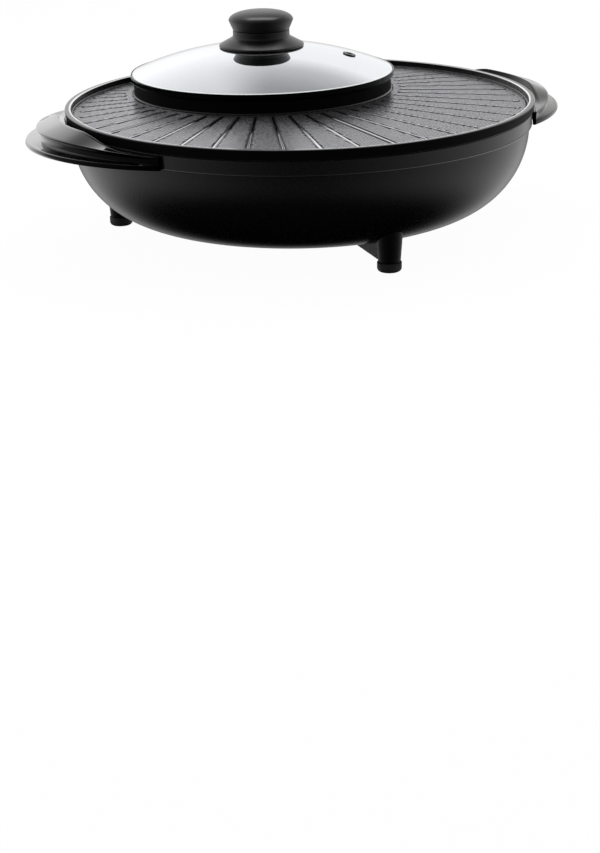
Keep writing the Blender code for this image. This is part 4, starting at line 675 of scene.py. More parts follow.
# Handles
# One phenolic moulding on each side, glossy from a polished mould: a ridge beside the rim, a top face that
# falls away from it, a hollow front and a lip that the fingers close on, with a pocket below.
HANDLE_HALF_ANGLE = 33.0
HANDLE_STEPS = 66
HANDLE_BASE = 205.4 * MM
HANDLE_SEAT = 203.3 * MM
HANDLE_SHOULDER = 104.2 * MM
HANDLE_END_REACH = 1.0 * MM
HANDLE_RIDGE_REACH = 10.0 * MM
HANDLE_EDGE_REACH = 29.5 * MM
HANDLE_REACH = 38.5 * MM
RIDGE_POWER = 1.5
EDGE_POWER = 1.45
LIP_POWER = 1.8
HANDLE_RIDGE_RISE = 10.4 * MM
HANDLE_EDGE_RISE = 5.0 * MM
HANDLE_DEPTH = 11.7 * MM
HANDLE_LIP = 4.0 * MM
HANDLE_LIP_BOW = 1.5 * MM
BOW_POWER = 2.0
HANDLE_STEP_DOWN = 0.7 * MM
RIDGE_FLAT_ANGLE = 9.0
RIDGE_FALL_ANGLE = 24.0
VALLEY_SHARE = 0.35
VALLEY_END_SHARE = 0.5
CREST_SHARE = 0.85
EDGE_START_SHARE = 0.97
HOLLOW_TOP_SHARE = 0.86
HOLLOW_MIDDLE_SHARE = 0.87
HOLLOW_FOOT_SHARE = 0.88
LIP_ROUND_SHARE = 0.975
HANDLE_CORNER = 1.3 * MM
HANDLE_CORNER_STEPS = 4
CORNER_SIDE_SHARE = 0.45
POCKET_HALF_ANGLE = 15.0
POCKET_DEPTH = 9.0 * MM
POCKET_WALL = 4.5 * MM
POCKET_STEPS = 30
HANDLE_BLACK = "#181818"
# The handles' sheen tints are painted: light on the left handle, and painted shade on the right.
HANDLE_PAINTED_SHEEN = "#A4A4A6"
HANDLE_PAINTED_SHADE = "#2E2A27"
HANDLE_ASLANT = (0.45, 0.8)
HANDLE_GLOSS = {
    "colour": HANDLE_BLACK,
    "rough": (0.07, 0.14),
    "grain": 18.0 * MM,
    "relief": 0.03 * MM,
    "detail": 1.0,
    "Metallic": 1.0,
}


def fall(angle, power):
    """1 in the middle of a handle, 0 at its ends."""
    return 1.0 - (abs(angle) / HANDLE_HALF_ANGLE) ** power


def soften(outline, size):
    """Rounds every corner of a closed outline with as many points, within the length of its sides."""
    points = [Vector(point) for point in outline]
    rounded = []
    for before, corner, after in zip(points[-1:] + points[:-1], points, points[1:] + points[:1]):
        back = before - corner
        on = after - corner
        start = corner + back.normalized() * min(size, back.length * CORNER_SIDE_SHARE)
        end = corner + on.normalized() * min(size, on.length * CORNER_SIDE_SHARE)
        for step in range(HANDLE_CORNER_STEPS + 1):
            share = step / HANDLE_CORNER_STEPS
            rounded.append(start * (1 - share) ** 2 + corner * 2 * share * (1 - share) + end * share**2)
    return rounded


def handle_outline(angle):
    """The handle's upright outline at an angle, from the rim out over the ridge and back under the lip."""
    along = min(max((abs(angle) - RIDGE_FLAT_ANGLE) / (RIDGE_FALL_ANGLE - RIDGE_FLAT_ANGLE), 0.0), 1.0)
    ridge_z = HANDLE_SHOULDER + HANDLE_RIDGE_RISE * (1.0 - along * along * (3.0 - 2.0 * along))
    valley_z = HANDLE_SHOULDER + (ridge_z - HANDLE_SHOULDER) * VALLEY_SHARE
    edge_z = HANDLE_SHOULDER + HANDLE_EDGE_RISE * fall(angle, BOW_POWER) - 2 * HANDLE_STEP_DOWN
    lip_bottom = HANDLE_SHOULDER - HANDLE_DEPTH + HANDLE_LIP_BOW * fall(angle, BOW_POWER)
    lip_top = lip_bottom + HANDLE_LIP
    ridge = HANDLE_END_REACH + HANDLE_RIDGE_REACH * fall(angle, RIDGE_POWER)
    edge = HANDLE_END_REACH + HANDLE_EDGE_REACH * fall(angle, EDGE_POWER)
    lip = HANDLE_END_REACH + HANDLE_REACH * fall(angle, LIP_POWER)
    outline = [
        (HANDLE_BASE, valley_z),
        (HANDLE_BASE + ridge * VALLEY_END_SHARE, valley_z),
        (HANDLE_BASE + ridge * CREST_SHARE, ridge_z),
        (HANDLE_BASE + ridge, ridge_z - HANDLE_STEP_DOWN / 2),
        (HANDLE_BASE + edge * EDGE_START_SHARE, edge_z + HANDLE_STEP_DOWN / 2),
        (HANDLE_BASE + edge, edge_z - HANDLE_STEP_DOWN / 2),
        (HANDLE_BASE + edge * HOLLOW_TOP_SHARE, (edge_z * 2 + lip_top) / 3),
        (HANDLE_BASE + edge * HOLLOW_MIDDLE_SHARE, (edge_z + lip_top * 3) / 4),
        (HANDLE_BASE + lip * HOLLOW_FOOT_SHARE, lip_top + HANDLE_STEP_DOWN / 2),
        (HANDLE_BASE + lip * LIP_ROUND_SHARE, lip_top),
        (HANDLE_BASE + lip, lip_top - HANDLE_LIP / 2),
        (HANDLE_BASE + lip * LIP_ROUND_SHARE, lip_bottom),
        (HANDLE_SEAT, lip_bottom),
        (HANDLE_SEAT, HANDLE_SHOULDER - HANDLE_STEP_DOWN),
        (HANDLE_BASE, HANDLE_SHOULDER - HANDLE_STEP_DOWN / 2),
    ]
    return soften(outline, HANDLE_CORNER)


def pocket_outline(angle):
    """The finger pocket's outline at an angle, a wall inside the handle's outer face."""
    bottom = HANDLE_SHOULDER - HANDLE_DEPTH
    inner = HANDLE_BASE + POCKET_WALL
    upper = HANDLE_BASE + HANDLE_EDGE_REACH * fall(angle, EDGE_POWER) * HOLLOW_TOP_SHARE - POCKET_WALL
    lower = HANDLE_BASE + HANDLE_REACH * fall(angle, LIP_POWER) - POCKET_WALL
    corners = [(inner, bottom - POCKET_DEPTH), (inner, bottom + POCKET_DEPTH), (upper, bottom + POCKET_DEPTH)]
    return soften([*corners, (lower, bottom), (lower, bottom - POCKET_DEPTH)], HANDLE_CORNER)


def swept(name, outline_at, half_angle, steps):
    """Spins the middle outline across +X, moves each point to its own angle's outline and fills the ends."""
    middle = outline_at(0.0)
    points = [polar(radius, half_angle, height) for radius, height in middle]
    piece = first_point(name, points[0])
    draw_line(points)
    close_line(points)
    bpy.ops.mesh.select_all(action="SELECT")
    whole = 2 * math.radians(half_angle)
    bpy.ops.mesh.spin(steps=steps, angle=whole, center=(0.0, 0.0, 0.0), axis=(0.0, 0.0, 1.0))
    shape = bmesh.from_edit_mesh(piece.data)
    outlines = {}
    for vertex in shape.verts:
        angle = math.degrees(math.atan2(vertex.co.y, vertex.co.x))
        reach = Vector((math.hypot(vertex.co.x, vertex.co.y), vertex.co.z))
        index = min(range(len(middle)), key=lambda place: (middle[place] - reach).length)
        step = round((angle + half_angle) * steps / (2 * half_angle))
        angle = half_angle * (2 * step / steps - 1)
        if step not in outlines:
            outlines[step] = outline_at(angle)
        vertex.co = polar(outlines[step][index].x, angle, outlines[step][index].y)
    bmesh.update_edit_mesh(piece.data)
    bpy.ops.mesh.select_all(action="SELECT")
    bpy.ops.mesh.fill_holes(sides=0)
    face_outwards()
    return piece


def blend(tree, share, first, second):
    """A share of the way from a first colour to a second, each a link or a hex code."""
    first, second = (hex_colour(item) if isinstance(item, str) else item for item in (first, second))
    return add_node(tree, "Mix", {0: share, 6: first, 7: second}, data_type="RGBA").outputs[2]


def aslant(tree, *spread):
    """How much aslant a surface is seen, spread over the values of a ramp."""
    return ramp(tree, add_node(tree, "LayerWeight").outputs["Facing"], *spread)


def mirror_aslant(material, low, high, start, end):
    """Makes a finish a mirror that goes from a low to a high colour as it is seen more and more aslant."""
    tree = material.node_tree
    tint = blend(tree, aslant(tree, start, end), low, high)
    feed(material, "Base Color", tint)
    return tint


# Glossy phenolic: near black, with the slow ripple that a thick moulding sets with. It has a painted sheen
# that grows as it is seen aslant. The sheen is light on the left handle and darker on the right one, which is
# painted shade.
gloss = finish("glossy_phenolic_painted_sheen", **HANDLE_GLOSS)
gloss_tree = gloss.node_tree
handle_side = add_node(gloss_tree, "SeparateXYZ", {0: object_place(gloss_tree)}).outputs["X"]
painted_shade_share = ramp(gloss_tree, handle_side, -HANDLE_BASE, HANDLE_BASE)
mirror_aslant(gloss, HANDLE_BLACK, blend(gloss_tree, painted_shade_share, HANDLE_PAINTED_SHEEN, HANDLE_PAINTED_SHADE), *HANDLE_ASLANT)
for name, turn in (("right", 0.0), ("left", 180.0)):
    handle = swept("moulded_handle_" + name, handle_outline, HANDLE_HALF_ANGLE, HANDLE_STEPS)
    boolean(handle, swept("pocket", pocket_outline, POCKET_HALF_ANGLE, POCKET_STEPS), "DIFFERENCE")
    handle.data.transform(turned_by(turn))
    clad(handle, gloss)
    dress(handle, "cooker", "gloss_phenolic", "handle_" + name)


# Cooking plate
# One aluminium die casting: the plate's rim, the crescent tray with its ribs and fine knurl, and the pot with
# its collar. It is sprayed with a black non-stick coating, smooth on the rim and rough on the tray's ground.
PLATE_STEPS = 256
PLATE_RADIUS = 205.0 * MM
RIM_TOP = 114.0 * MM
RIM_BOTTOM = 105.2 * MM
RIM_BOTTOM_RADIUS = 203.6 * MM
RIM_EDGE = 1.3 * MM
LOCATING_RADIUS = 200.7 * MM
TRAY_UNDER = 104.5 * MM
TRAY_FLOOR = 108.5 * MM
TRAY_RADIUS = 199.5 * MM
TRAY_EDGE = 0.9 * MM
TRAY_FILLET = 1.2 * MM
TIP_RADIUS = 9.0 * MM
ARC_STEPS = 200
TIP_STEPS = 20
FILLET_STEPS = 4
POT_OFFSET = 82.0 * MM
COLLAR_RADIUS = 117.7 * MM
COLLAR_TOP = 120.2 * MM
COLLAR_EDGE = 1.0 * MM
POT_MOUTH_RADIUS = 114.7 * MM
POT_CORNER_RADIUS = 93.5 * MM
POT_CORNER_HEIGHT = 60.0 * MM
POT_FLOOR_RADIUS = 88.0 * MM
POT_FLOOR = 56.0 * MM
POT_UNDER = 51.0 * MM
POT_WALL = 3.5 * MM
POT_BEND = 6.0 * MM
RIB_BLACK = "#1E1E1F"
RIB_PAINTED_SHEEN = "#E4E4E8"
# The rim's inner edge has a painted highlight.
RIM_PAINTED_HIGHLIGHT = "#F2F2F4"
# The crowns' tints are painted glints.
CROWN_GLINT_GREY = "#47474A"
CROWN_GLINT_SHEEN = "#D0D0D4"
RIB_ASLANT = (0.5, 0.78)
RIM_ASLANT = (0.4, 0.7)
COATING_BLACK = "#0D0D0E"
COATING = {"colour": COATING_BLACK, "rough": (0.2, 0.3), "grain": 0.7 * MM, "relief": 0.01 * MM}
# The upright walls' coat is painted shade.
UPRIGHT_SHADE_COATING = {
    "colour": "#030303",
    "rough": (0.5, 0.65),
    "grain": 0.8 * MM,
    "relief": 0.05 * MM,
    "Specular IOR Level": 0.05,
}
GROUND_COATING = {
    "colour": "#0B0B0C",
    "rough": (0.5, 0.7),
    "grain": 0.8 * MM,
    "relief": 0.04 * MM,
    "Specular IOR Level": 0.2,
}
RIB_SHEEN_COATING = {"colour": COATING_BLACK, "rough": (0.08, 0.14), "grain": 2.0 * MM, "Metallic": 1.0}
RIM_HIGHLIGHT_COATING = {"colour": COATING_BLACK, "rough": (0.12, 0.2), "grain": 2.0 * MM, "Metallic": 1.0}
CROWN_GLINT_COATING = {"colour": CROWN_GLINT_GREY, "rough": (0.2, 0.32), "grain": 0.9 * MM, "Metallic": 1.0}


def arc(centre, radius, start, end, steps):
    """Points along an arc about (x, y), from one angle to another."""
    points = []
    for step in range(steps + 1):
        turn = math.radians(start + (end - start) * step / steps)
        points.append((centre[0] + radius * math.cos(turn), centre[1] + radius * math.sin(turn)))
    return points


tip_reach = TRAY_RADIUS - TIP_RADIUS
tip_from_pot = COLLAR_RADIUS + TIP_RADIUS
tip_y = (tip_reach**2 - tip_from_pot**2 + POT_OFFSET**2) / (2 * POT_OFFSET)
tip_x = math.sqrt(tip_reach**2 - tip_y**2)
tip_angle = math.degrees(math.atan2(tip_y, tip_x))
pot_tip_angle = math.degrees(math.atan2(tip_y - POT_OFFSET, tip_x))


def crescent(offset):
    """The tray's outline, moved outwards by an offset: rim side, left tip, collar side, right tip."""
    tip = TIP_RADIUS + offset
    inner = COLLAR_RADIUS - offset
    return (
        arc((0.0, 0.0), TRAY_RADIUS + offset, tip_angle, -180.0 - tip_angle, ARC_STEPS)
        + arc((-tip_x, tip_y), tip, 180.0 - tip_angle, -pot_tip_angle, TIP_STEPS)[1:]
        + arc((0.0, POT_OFFSET), inner, 180.0 - pot_tip_angle, 360.0 + pot_tip_angle, ARC_STEPS)[1:]
        + arc((tip_x, tip_y), tip, 180.0 + pot_tip_angle, tip_angle, TIP_STEPS)[1:-1]
    )


# The tray's cutter: its outline is filled above the plate, and its face is extruded down, level by level,
# over the rounded top edge, down the wall and in round the fillet at the floor.
levels = [(RIM_TOP + CUT_DEPTH / 4, TRAY_EDGE), (RIM_TOP, TRAY_EDGE)]
for cosine, sine in quarter(FILLET_STEPS)[1:]:
    levels.append((RIM_TOP - TRAY_EDGE * (1 - cosine), TRAY_EDGE * (1 - sine)))
for cosine, sine in quarter(FILLET_STEPS):
    levels.append((TRAY_FLOOR + TRAY_FILLET * (1 - sine), TRAY_FILLET * (cosine - 1)))
top_height, top_offset = levels[0]
top_line = [(x, y, top_height) for x, y in crescent(top_offset)]
tray_cutter = first_point("tray_cutter", top_line[0])
draw_line(top_line)
close_line(top_line)
bpy.ops.mesh.select_all(action="SELECT")
bpy.ops.mesh.edge_face_add()
shape = bmesh.from_edit_mesh(tray_cutter.data)
shape.faces.ensure_lookup_table()
order = []
for vertex in shape.faces[0].verts:
    distances = [(vertex.co - Vector(point)).length for point in top_line]
    order.append(distances.index(min(distances)))
for height, offset in levels[1:]:
    bpy.ops.mesh.extrude_region_move(TRANSFORM_OT_translate={"value": (0.0, 0.0, -SMALLEST)})
    line = crescent(offset)
    shape = bmesh.from_edit_mesh(tray_cutter.data)
    for vertex, index in zip([face for face in shape.faces if face.select][0].verts, order):
        vertex.co = (*line[index], height)
    bmesh.update_edit_mesh(tray_cutter.data)
face_outwards()

disc_outline = [
    (0.0, RIM_TOP, 0.0),
    (PLATE_RADIUS, RIM_TOP, RIM_EDGE),
    (RIM_BOTTOM_RADIUS, RIM_BOTTOM, RIM_EDGE / 2),
    (LOCATING_RADIUS, RIM_BOTTOM, 0.0),
    (LOCATING_RADIUS, TRAY_UNDER, 0.0),
    (0.0, TRAY_UNDER, 0.0),
]
pan = turned("cast_grill_pan", disc_outline, PLATE_STEPS)
boolean(pan, tray_cutter, "DIFFERENCE")

pot_slope_top = COLLAR_RADIUS - POT_WALL
pot_outline = [
    (0.0, COLLAR_TOP, 0.0),
    (COLLAR_RADIUS, COLLAR_TOP, COLLAR_EDGE),
    (COLLAR_RADIUS, TRAY_UNDER - POT_WALL / 2, 0.0),
    (pot_slope_top, TRAY_UNDER - POT_WALL, 0.0),
    (POT_CORNER_RADIUS + POT_WALL, POT_CORNER_HEIGHT - POT_WALL, POT_BEND),
    (POT_FLOOR_RADIUS + POT_WALL, POT_UNDER, POT_BEND / 2),
    (0.0, POT_UNDER, 0.0),
]
pot_axis = (0.0, POT_OFFSET)
pot_place = Matrix.Translation((*pot_axis, 0.0))
boolean(pan, turned("pot_outside", pot_outline, PLATE_STEPS, pot_axis), "UNION")
mouth_flare = COLLAR_TOP + CUT_DEPTH / 4
hollow_outline = [
    (0.0, mouth_flare, 0.0),
    (POT_MOUTH_RADIUS + COLLAR_EDGE, mouth_flare, 0.0),
    (POT_MOUTH_RADIUS + COLLAR_EDGE, COLLAR_TOP, 0.0),
    (POT_MOUTH_RADIUS, COLLAR_TOP - COLLAR_EDGE, 0.0),
    (POT_CORNER_RADIUS, POT_CORNER_HEIGHT, POT_BEND),
    (POT_FLOOR_RADIUS, POT_FLOOR, POT_BEND / 2),
    (0.0, POT_FLOOR, 0.0),
]
boolean(pan, turned("pot_hollow", hollow_outline, PLATE_STEPS, pot_axis), "DIFFERENCE")

RIB_COUNT = 37
RIB_PITCH = 6.5
RIB_WIDTH = 3.2 * MM
RIB_TOP_WIDTH = 2.2 * MM
RIB_HEIGHT = 0.55 * MM
RIB_SEAT = 0.6 * MM
RIB_EDGE = 0.7 * MM
RIB_COLLAR_GAP = 9.0 * MM
RIB_RIM_GAP = 8.3 * MM
FRONT_ANGLE = 270.0
RIM_HIGHLIGHT_BAND = 1.0 * MM
RIM_SIDE_SHARE = 0.7
UPRIGHT_NORMAL = 0.8
LEVEL_NORMAL = 0.9
EDGE_NORMAL = 0.3

rib_start = COLLAR_RADIUS + RIB_COLLAR_GAP


def rib_end(angle):
    """How far from the pot's axis the rib at an angle ends, a set gap from the rim."""
    turn = math.radians(angle)
    rib_circle = TRAY_RADIUS - RIB_RIM_GAP
    return math.sqrt(rib_circle**2 - (POT_OFFSET * math.cos(turn)) ** 2) - POT_OFFSET * math.sin(turn)


# The ribs: one block for each, narrowed to its top, with its upper edges rounded.
for number in range(RIB_COUNT):
    angle = FRONT_ANGLE + RIB_PITCH * (number - (RIB_COUNT - 1) / 2)
    size = (rib_end(angle) - rib_start, RIB_WIDTH, RIB_HEIGHT + RIB_SEAT)
    rib = block("rib", size, (rib_start + size[0] / 2, 0.0, TRAY_FLOOR + RIB_HEIGHT - size[2] / 2))
    bpy.ops.object.mode_set(mode="EDIT")
    choose("verts", lambda vertex: vertex.co.z > TRAY_FLOOR)
    narrowing = (1.0 - (RIB_WIDTH - RIB_TOP_WIDTH) / size[0], RIB_TOP_WIDTH / RIB_WIDTH, 1.0)
    bpy.ops.transform.resize(value=narrowing)
    choose("edges", lambda edge: min(vertex.co.z for vertex in edge.verts) > TRAY_FLOOR)
    bpy.ops.mesh.bevel(offset=RIB_EDGE, segments=EDGE_SEGMENTS, affect="EDGES")
    bpy.ops.object.mode_set(mode="OBJECT")
    rib.data.transform(pot_place @ turned_by(angle))
    boolean(pan, rib, "UNION")


def on_wall(face):
    """Whether a face of the casting is upright: the rim's side, the collar or the pot's wall."""
    centre = face.calc_center_median()
    on_rim = off_axis(centre) > PLATE_RADIUS - RIM_EDGE * RIM_SIDE_SHARE
    on_pot = POT_FLOOR_RADIUS < off_axis(centre, POT_OFFSET) < COLLAR_RADIUS + SMALLEST
    return abs(face.normal.z) < UPRIGHT_NORMAL and (on_rim or on_pot)


def on_ground(face):
    """Whether a face of the casting is the level ground of the tray or of the pot."""
    height = face.calc_center_median().z
    on_floor = abs(height - TRAY_FLOOR) < SMALLEST or abs(height - POT_FLOOR) < SMALLEST
    return face.normal.z > LEVEL_NORMAL and on_floor


def on_rib(face):
    """Whether a face of the casting belongs to a rib."""
    centre = face.calc_center_median()
    on_tray_side = off_axis(centre) < TRAY_RADIUS - RIB_RIM_GAP / 2
    past_collar = off_axis(centre, POT_OFFSET) > COLLAR_RADIUS + RIB_COLLAR_GAP / 2
    return TRAY_FLOOR + SMALLEST < centre.z < RIM_TOP - RIB_HEIGHT and on_tray_side and past_collar


def on_rim_ring(face):
    """Whether a face of the casting belongs to the rim's level ring or to the round of its edges."""
    centre = face.calc_center_median()
    on_ring = off_axis(centre) > TRAY_RADIUS - SMALLEST
    return on_ring and centre.z > RIM_TOP - RIM_EDGE and face.normal.z > EDGE_NORMAL


# Sprayed non-stick coating lies smooth on the level faces, so it mirrors a little. The upright walls get a
# blacker coat that hardly mirrors, which is painted shade, and the ground between the knurl's crowns is rough
# from the mould.
clad(pan, finish("sprayed_non_stick_coating", **COATING))
coat(pan, finish("upright_painted_shade_coating", **UPRIGHT_SHADE_COATING), on_wall)
coat(pan, finish("rough_ground_coating", **GROUND_COATING), on_ground)

# The ribs are smooth and glossy, with a painted sheen, brighter than the tray's, that grows as they are seen
# aslant.
rib_sheen_coating = finish("rib_coating_painted_sheen", **RIB_SHEEN_COATING)
mirror_aslant(rib_sheen_coating, RIB_BLACK, RIB_PAINTED_SHEEN, *RIB_ASLANT)
coat(pan, rib_sheen_coating, on_rib)

# The rim's level ring is smooth from the mould. A painted highlight runs along its inner edge, and over its
# outer part the tint fades to black.
rim_highlight_coating = finish("rim_coating_painted_highlight", **RIM_HIGHLIGHT_COATING)
rim_tree = rim_highlight_coating.node_tree
rim_highlight_tint = mirror_aslant(rim_highlight_coating, RIB_BLACK, RIM_PAINTED_HIGHLIGHT, *RIM_ASLANT)
rim_flat = {0: object_place(rim_tree), 1: (1.0, 1.0, 0.0)}
rim_level = add_node(rim_tree, "VectorMath", rim_flat, operation="MULTIPLY").outputs["Vector"]
rim_radius = add_node(rim_tree, "VectorMath", {0: rim_level}, operation="LENGTH").outputs["Value"]
highlight_fade = ramp(rim_tree, rim_radius, TRAY_RADIUS + RIM_HIGHLIGHT_BAND, TRAY_RADIUS + 2 * RIM_HIGHLIGHT_BAND)
feed(rim_highlight_coating, "Base Color", blend(rim_tree, highlight_fade, rim_highlight_tint, RIB_BLACK))
coat(pan, rim_highlight_coating, on_rim_ring)
dress(pan, "cooker", "nonstick_casting", "grill_pan")

# The knurl: low four-sided crowns in staggered rows. Each field is an array of one crown, of which only those
# stay that stand wholly on the tray's floor, on the strip behind the pot or on the pot's floor.
CROWN_SPACING = 2.8 * MM
CROWN_BASE = 1.5 * MM
CROWN_TOP = 1.2 * MM
CROWN_HEIGHT = 0.25 * MM
CROWN_SEAT = 0.05 * MM
CROWN_MARGIN = 0.9 * MM
CROWN_SIDES = 4
CROWN_TURN = 45.0


def repeat(piece, count, across, along):
    """Repeats a piece a number of times, by a step across and along the table."""
    step = {"constant_offset_displace": (across, along, 0.0), "use_constant_offset": True}
    apply_modifier(piece, "ARRAY", count=count, use_relative_offset=False, **step)


def crowns(name, floor, reach, middle, wanted):
    """A field of crowns on a floor, as far as a reach from a middle point, where a test of (x, y) passes."""
    column = CROWN_SPACING * math.sqrt(3.0) / 2.0
    across = math.ceil(reach / column)
    along = math.ceil(2 * reach / CROWN_SPACING)
    start = (middle[0] - across * column, middle[1] - along * CROWN_SPACING / 2)
    bpy.ops.object.select_all(action="DESELECT")
    place = (start[0], start[1], floor + CROWN_HEIGHT / 2 - CROWN_SEAT)
    sizes = {"radius1": CROWN_BASE, "radius2": CROWN_TOP, "depth": CROWN_HEIGHT + 2 * CROWN_SEAT}
    bpy.ops.mesh.primitive_cone_add(vertices=CROWN_SIDES, location=place, **sizes)
    field = bpy.context.object
    field.name = name
    field.rotation_euler = (0.0, 0.0, math.radians(CROWN_TURN))
    bpy.ops.object.transform_apply(location=True, rotation=True, scale=True)
    repeat(field, 2, column, CROWN_SPACING / 2)
    repeat(field, across, 2 * column, 0.0)
    repeat(field, along, 0.0, CROWN_SPACING)
    bpy.ops.object.mode_set(mode="EDIT")

    def stray(vertex):
        """Whether a vertex belongs to a crown that fails the test."""
        column_number = round((vertex.co.x - start[0]) / column)
        shift = start[1] + CROWN_SPACING / 2 * (column_number % 2)
        row_number = round((vertex.co.y - shift) / CROWN_SPACING)
        return not wanted(start[0] + column_number * column, shift + row_number * CROWN_SPACING)

    choose("verts", stray)
    bpy.ops.mesh.delete(type="VERT")
    bpy.ops.object.mode_set(mode="OBJECT")
    return field


def from_pot(x, y):
    """How far a point is from the pot's axis."""
    return math.hypot(x, y - POT_OFFSET)


def in_crescent(x, y, margin):
    """Whether a point lies inside the tray's outline by a margin."""
    if math.hypot(x, y) > TRAY_RADIUS - margin or from_pot(x, y) < COLLAR_RADIUS + margin:
        return False
    past_rim = math.degrees(math.atan2(y, abs(x))) > tip_angle
    past_pot = math.degrees(math.atan2(y - POT_OFFSET, abs(x))) > pot_tip_angle
    return not (past_rim or past_pot) or math.hypot(abs(x) - tip_x, y - tip_y) < TIP_RADIUS - margin


def on_tray(x, y):
    """Whether a crown stands on the tray's floor, clear of its fillet and of the ribs."""
    if not in_crescent(x, y, TRAY_FILLET + CROWN_MARGIN):
        return False
    reach = from_pot(x, y)
    angle = math.degrees(math.atan2(y - POT_OFFSET, x)) % 360.0
    number = round((angle - FRONT_ANGLE) / RIB_PITCH)
    if abs(number) > (RIB_COUNT - 1) / 2:
        return True
    off_rib = reach * abs(math.sin(math.radians(angle - FRONT_ANGLE - number * RIB_PITCH)))
    beside = off_rib > RIB_WIDTH / 2 + CROWN_MARGIN
    own_end = rib_end(FRONT_ANGLE + number * RIB_PITCH)
    return beside or not rib_start - CROWN_BASE < reach < own_end + CROWN_BASE


def behind_pot(x, y):
    """Whether a crown stands on the level strip between the tray's tips, behind the pot."""
    in_rim = math.hypot(x, y) < TRAY_RADIUS - CROWN_MARGIN
    in_strip = in_rim and from_pot(x, y) > COLLAR_RADIUS + CROWN_BASE
    return in_strip and y > tip_y and not in_crescent(x, y, -TRAY_EDGE - CROWN_BASE)


def on_pot_floor(x, y):
    """Whether a crown stands on the pot's floor."""
    return from_pot(x, y) < POT_FLOOR_RADIUS - POT_BEND


knurl = crowns("cast_knurl", TRAY_FLOOR, TRAY_RADIUS, (0.0, 0.0), on_tray)
knurl_strip = crowns("cast_knurl_strip", RIM_TOP, TRAY_RADIUS, (0.0, 0.0), behind_pot)
knurl_floor = crowns("cast_pot_knurl", POT_FLOOR, POT_FLOOR_RADIUS, pot_axis, on_pot_floor)

# The crowns get a greyer mirror tint than the ground between them: painted glints.
crown_glint_coating = finish("crown_painted_glint_coating", **CROWN_GLINT_COATING)
mirror_aslant(crown_glint_coating, CROWN_GLINT_GREY, CROWN_GLINT_SHEEN, *RIB_ASLANT)
for field in (knurl, knurl_strip, knurl_floor):
    field.data.materials.append(crown_glint_coating)
    dress(field, "cooker", "nonstick_casting")

# The pot's floor also has flat squares in turned rows, which keep food from sticking.
SQUARE_SIZE = 5.4 * MM
SQUARE_PITCH = 17.0 * MM
SQUARE_TURN = 31.0
SQUARE_HEIGHT = 0.45 * MM
SQUARE_EDGE = 0.2 * MM
SQUARE_COUNT = 11

corner = -SQUARE_PITCH * (SQUARE_COUNT - 1) / 2
square_size = (SQUARE_SIZE, SQUARE_SIZE, SQUARE_HEIGHT + 2 * CROWN_SEAT)
squares = block("cast_pot_squares", square_size, (corner, corner, POT_FLOOR + SQUARE_HEIGHT / 2))
apply_modifier(squares, "BEVEL", width=SQUARE_EDGE, segments=1)
repeat(squares, SQUARE_COUNT, SQUARE_PITCH, 0.0)
repeat(squares, SQUARE_COUNT, 0.0, SQUARE_PITCH)
bpy.ops.object.mode_set(mode="EDIT")


def outside_floor(vertex):
    """Whether a square's vertex belongs to a square that reaches over the edge of the pot's floor."""
    middle = [corner + round((value - corner) / SQUARE_PITCH) * SQUARE_PITCH for value in vertex.co[:2]]
    return math.hypot(*middle) > POT_FLOOR_RADIUS - POT_BEND - SQUARE_SIZE / 2


choose("verts", outside_floor)
bpy.ops.mesh.delete(type="VERT")
bpy.ops.object.mode_set(mode="OBJECT")
squares.data.transform(pot_place @ turned_by(SQUARE_TURN))
# The squares share the crowns' painted glints.
squares.data.materials.append(crown_glint_coating)
dress(squares, "cooker", "nonstick_casting")


# Lid band
# A band of steel rolled round the edge of the glass, polished and then blackened, with a skirt that drops
# into the pot's mouth.
LID_STEPS = 192
BAND_OUTER = 120.3 * MM
BAND_BOTTOM = 120.5 * MM
BAND_TOP = 126.3 * MM
BAND_SHEET = 0.9 * MM
BAND_ROLL = 1.6 * MM
SKIRT_BOTTOM = 117.0 * MM
SKIRT_OUTER = 112.8 * MM
GLASS_EDGE_RADIUS = 119.1 * MM
DOME_TOP = 150.0 * MM
GLASS_WALL = 4.0 * MM
BLACK_STEEL = {"colour": "#1A1A1B", "rough": (0.08, 0.18), "grain": 4.0 * MM, "Metallic": 1.0}

dome_radius = (GLASS_EDGE_RADIUS**2 + (DOME_TOP - BAND_TOP) ** 2) / (2 * (DOME_TOP - BAND_TOP))


def dome_height(radius, under=0.0):
    """Height of the glass at a radius from the lid's axis, or of its underside."""
    return DOME_TOP - dome_radius + math.sqrt((dome_radius - under) ** 2 - radius**2)


shelf = dome_height(GLASS_EDGE_RADIUS, GLASS_WALL) - GAP
band_outline = [
    (GLASS_EDGE_RADIUS + GAP, BAND_TOP, GAP),
    (BAND_OUTER, BAND_TOP, BAND_SHEET / 2),
    (BAND_OUTER, BAND_BOTTOM, BAND_ROLL),
    (SKIRT_OUTER, BAND_BOTTOM, 0.0),
    (SKIRT_OUTER, SKIRT_BOTTOM, GAP),
    (SKIRT_OUTER - BAND_SHEET, SKIRT_BOTTOM, GAP),
    (SKIRT_OUTER - BAND_SHEET, shelf, 0.0),
    (GLASS_EDGE_RADIUS + GAP, shelf, 0.0),
]
band = turned("polished_band", band_outline, LID_STEPS, pot_axis)

# Blackened steel, buffed: a dark mirror, bright only where it is seen along its surface.
clad(band, finish("blackened_polished_steel", **BLACK_STEEL))
dress(band, "lid", "band_steel", "lid_rim_band")


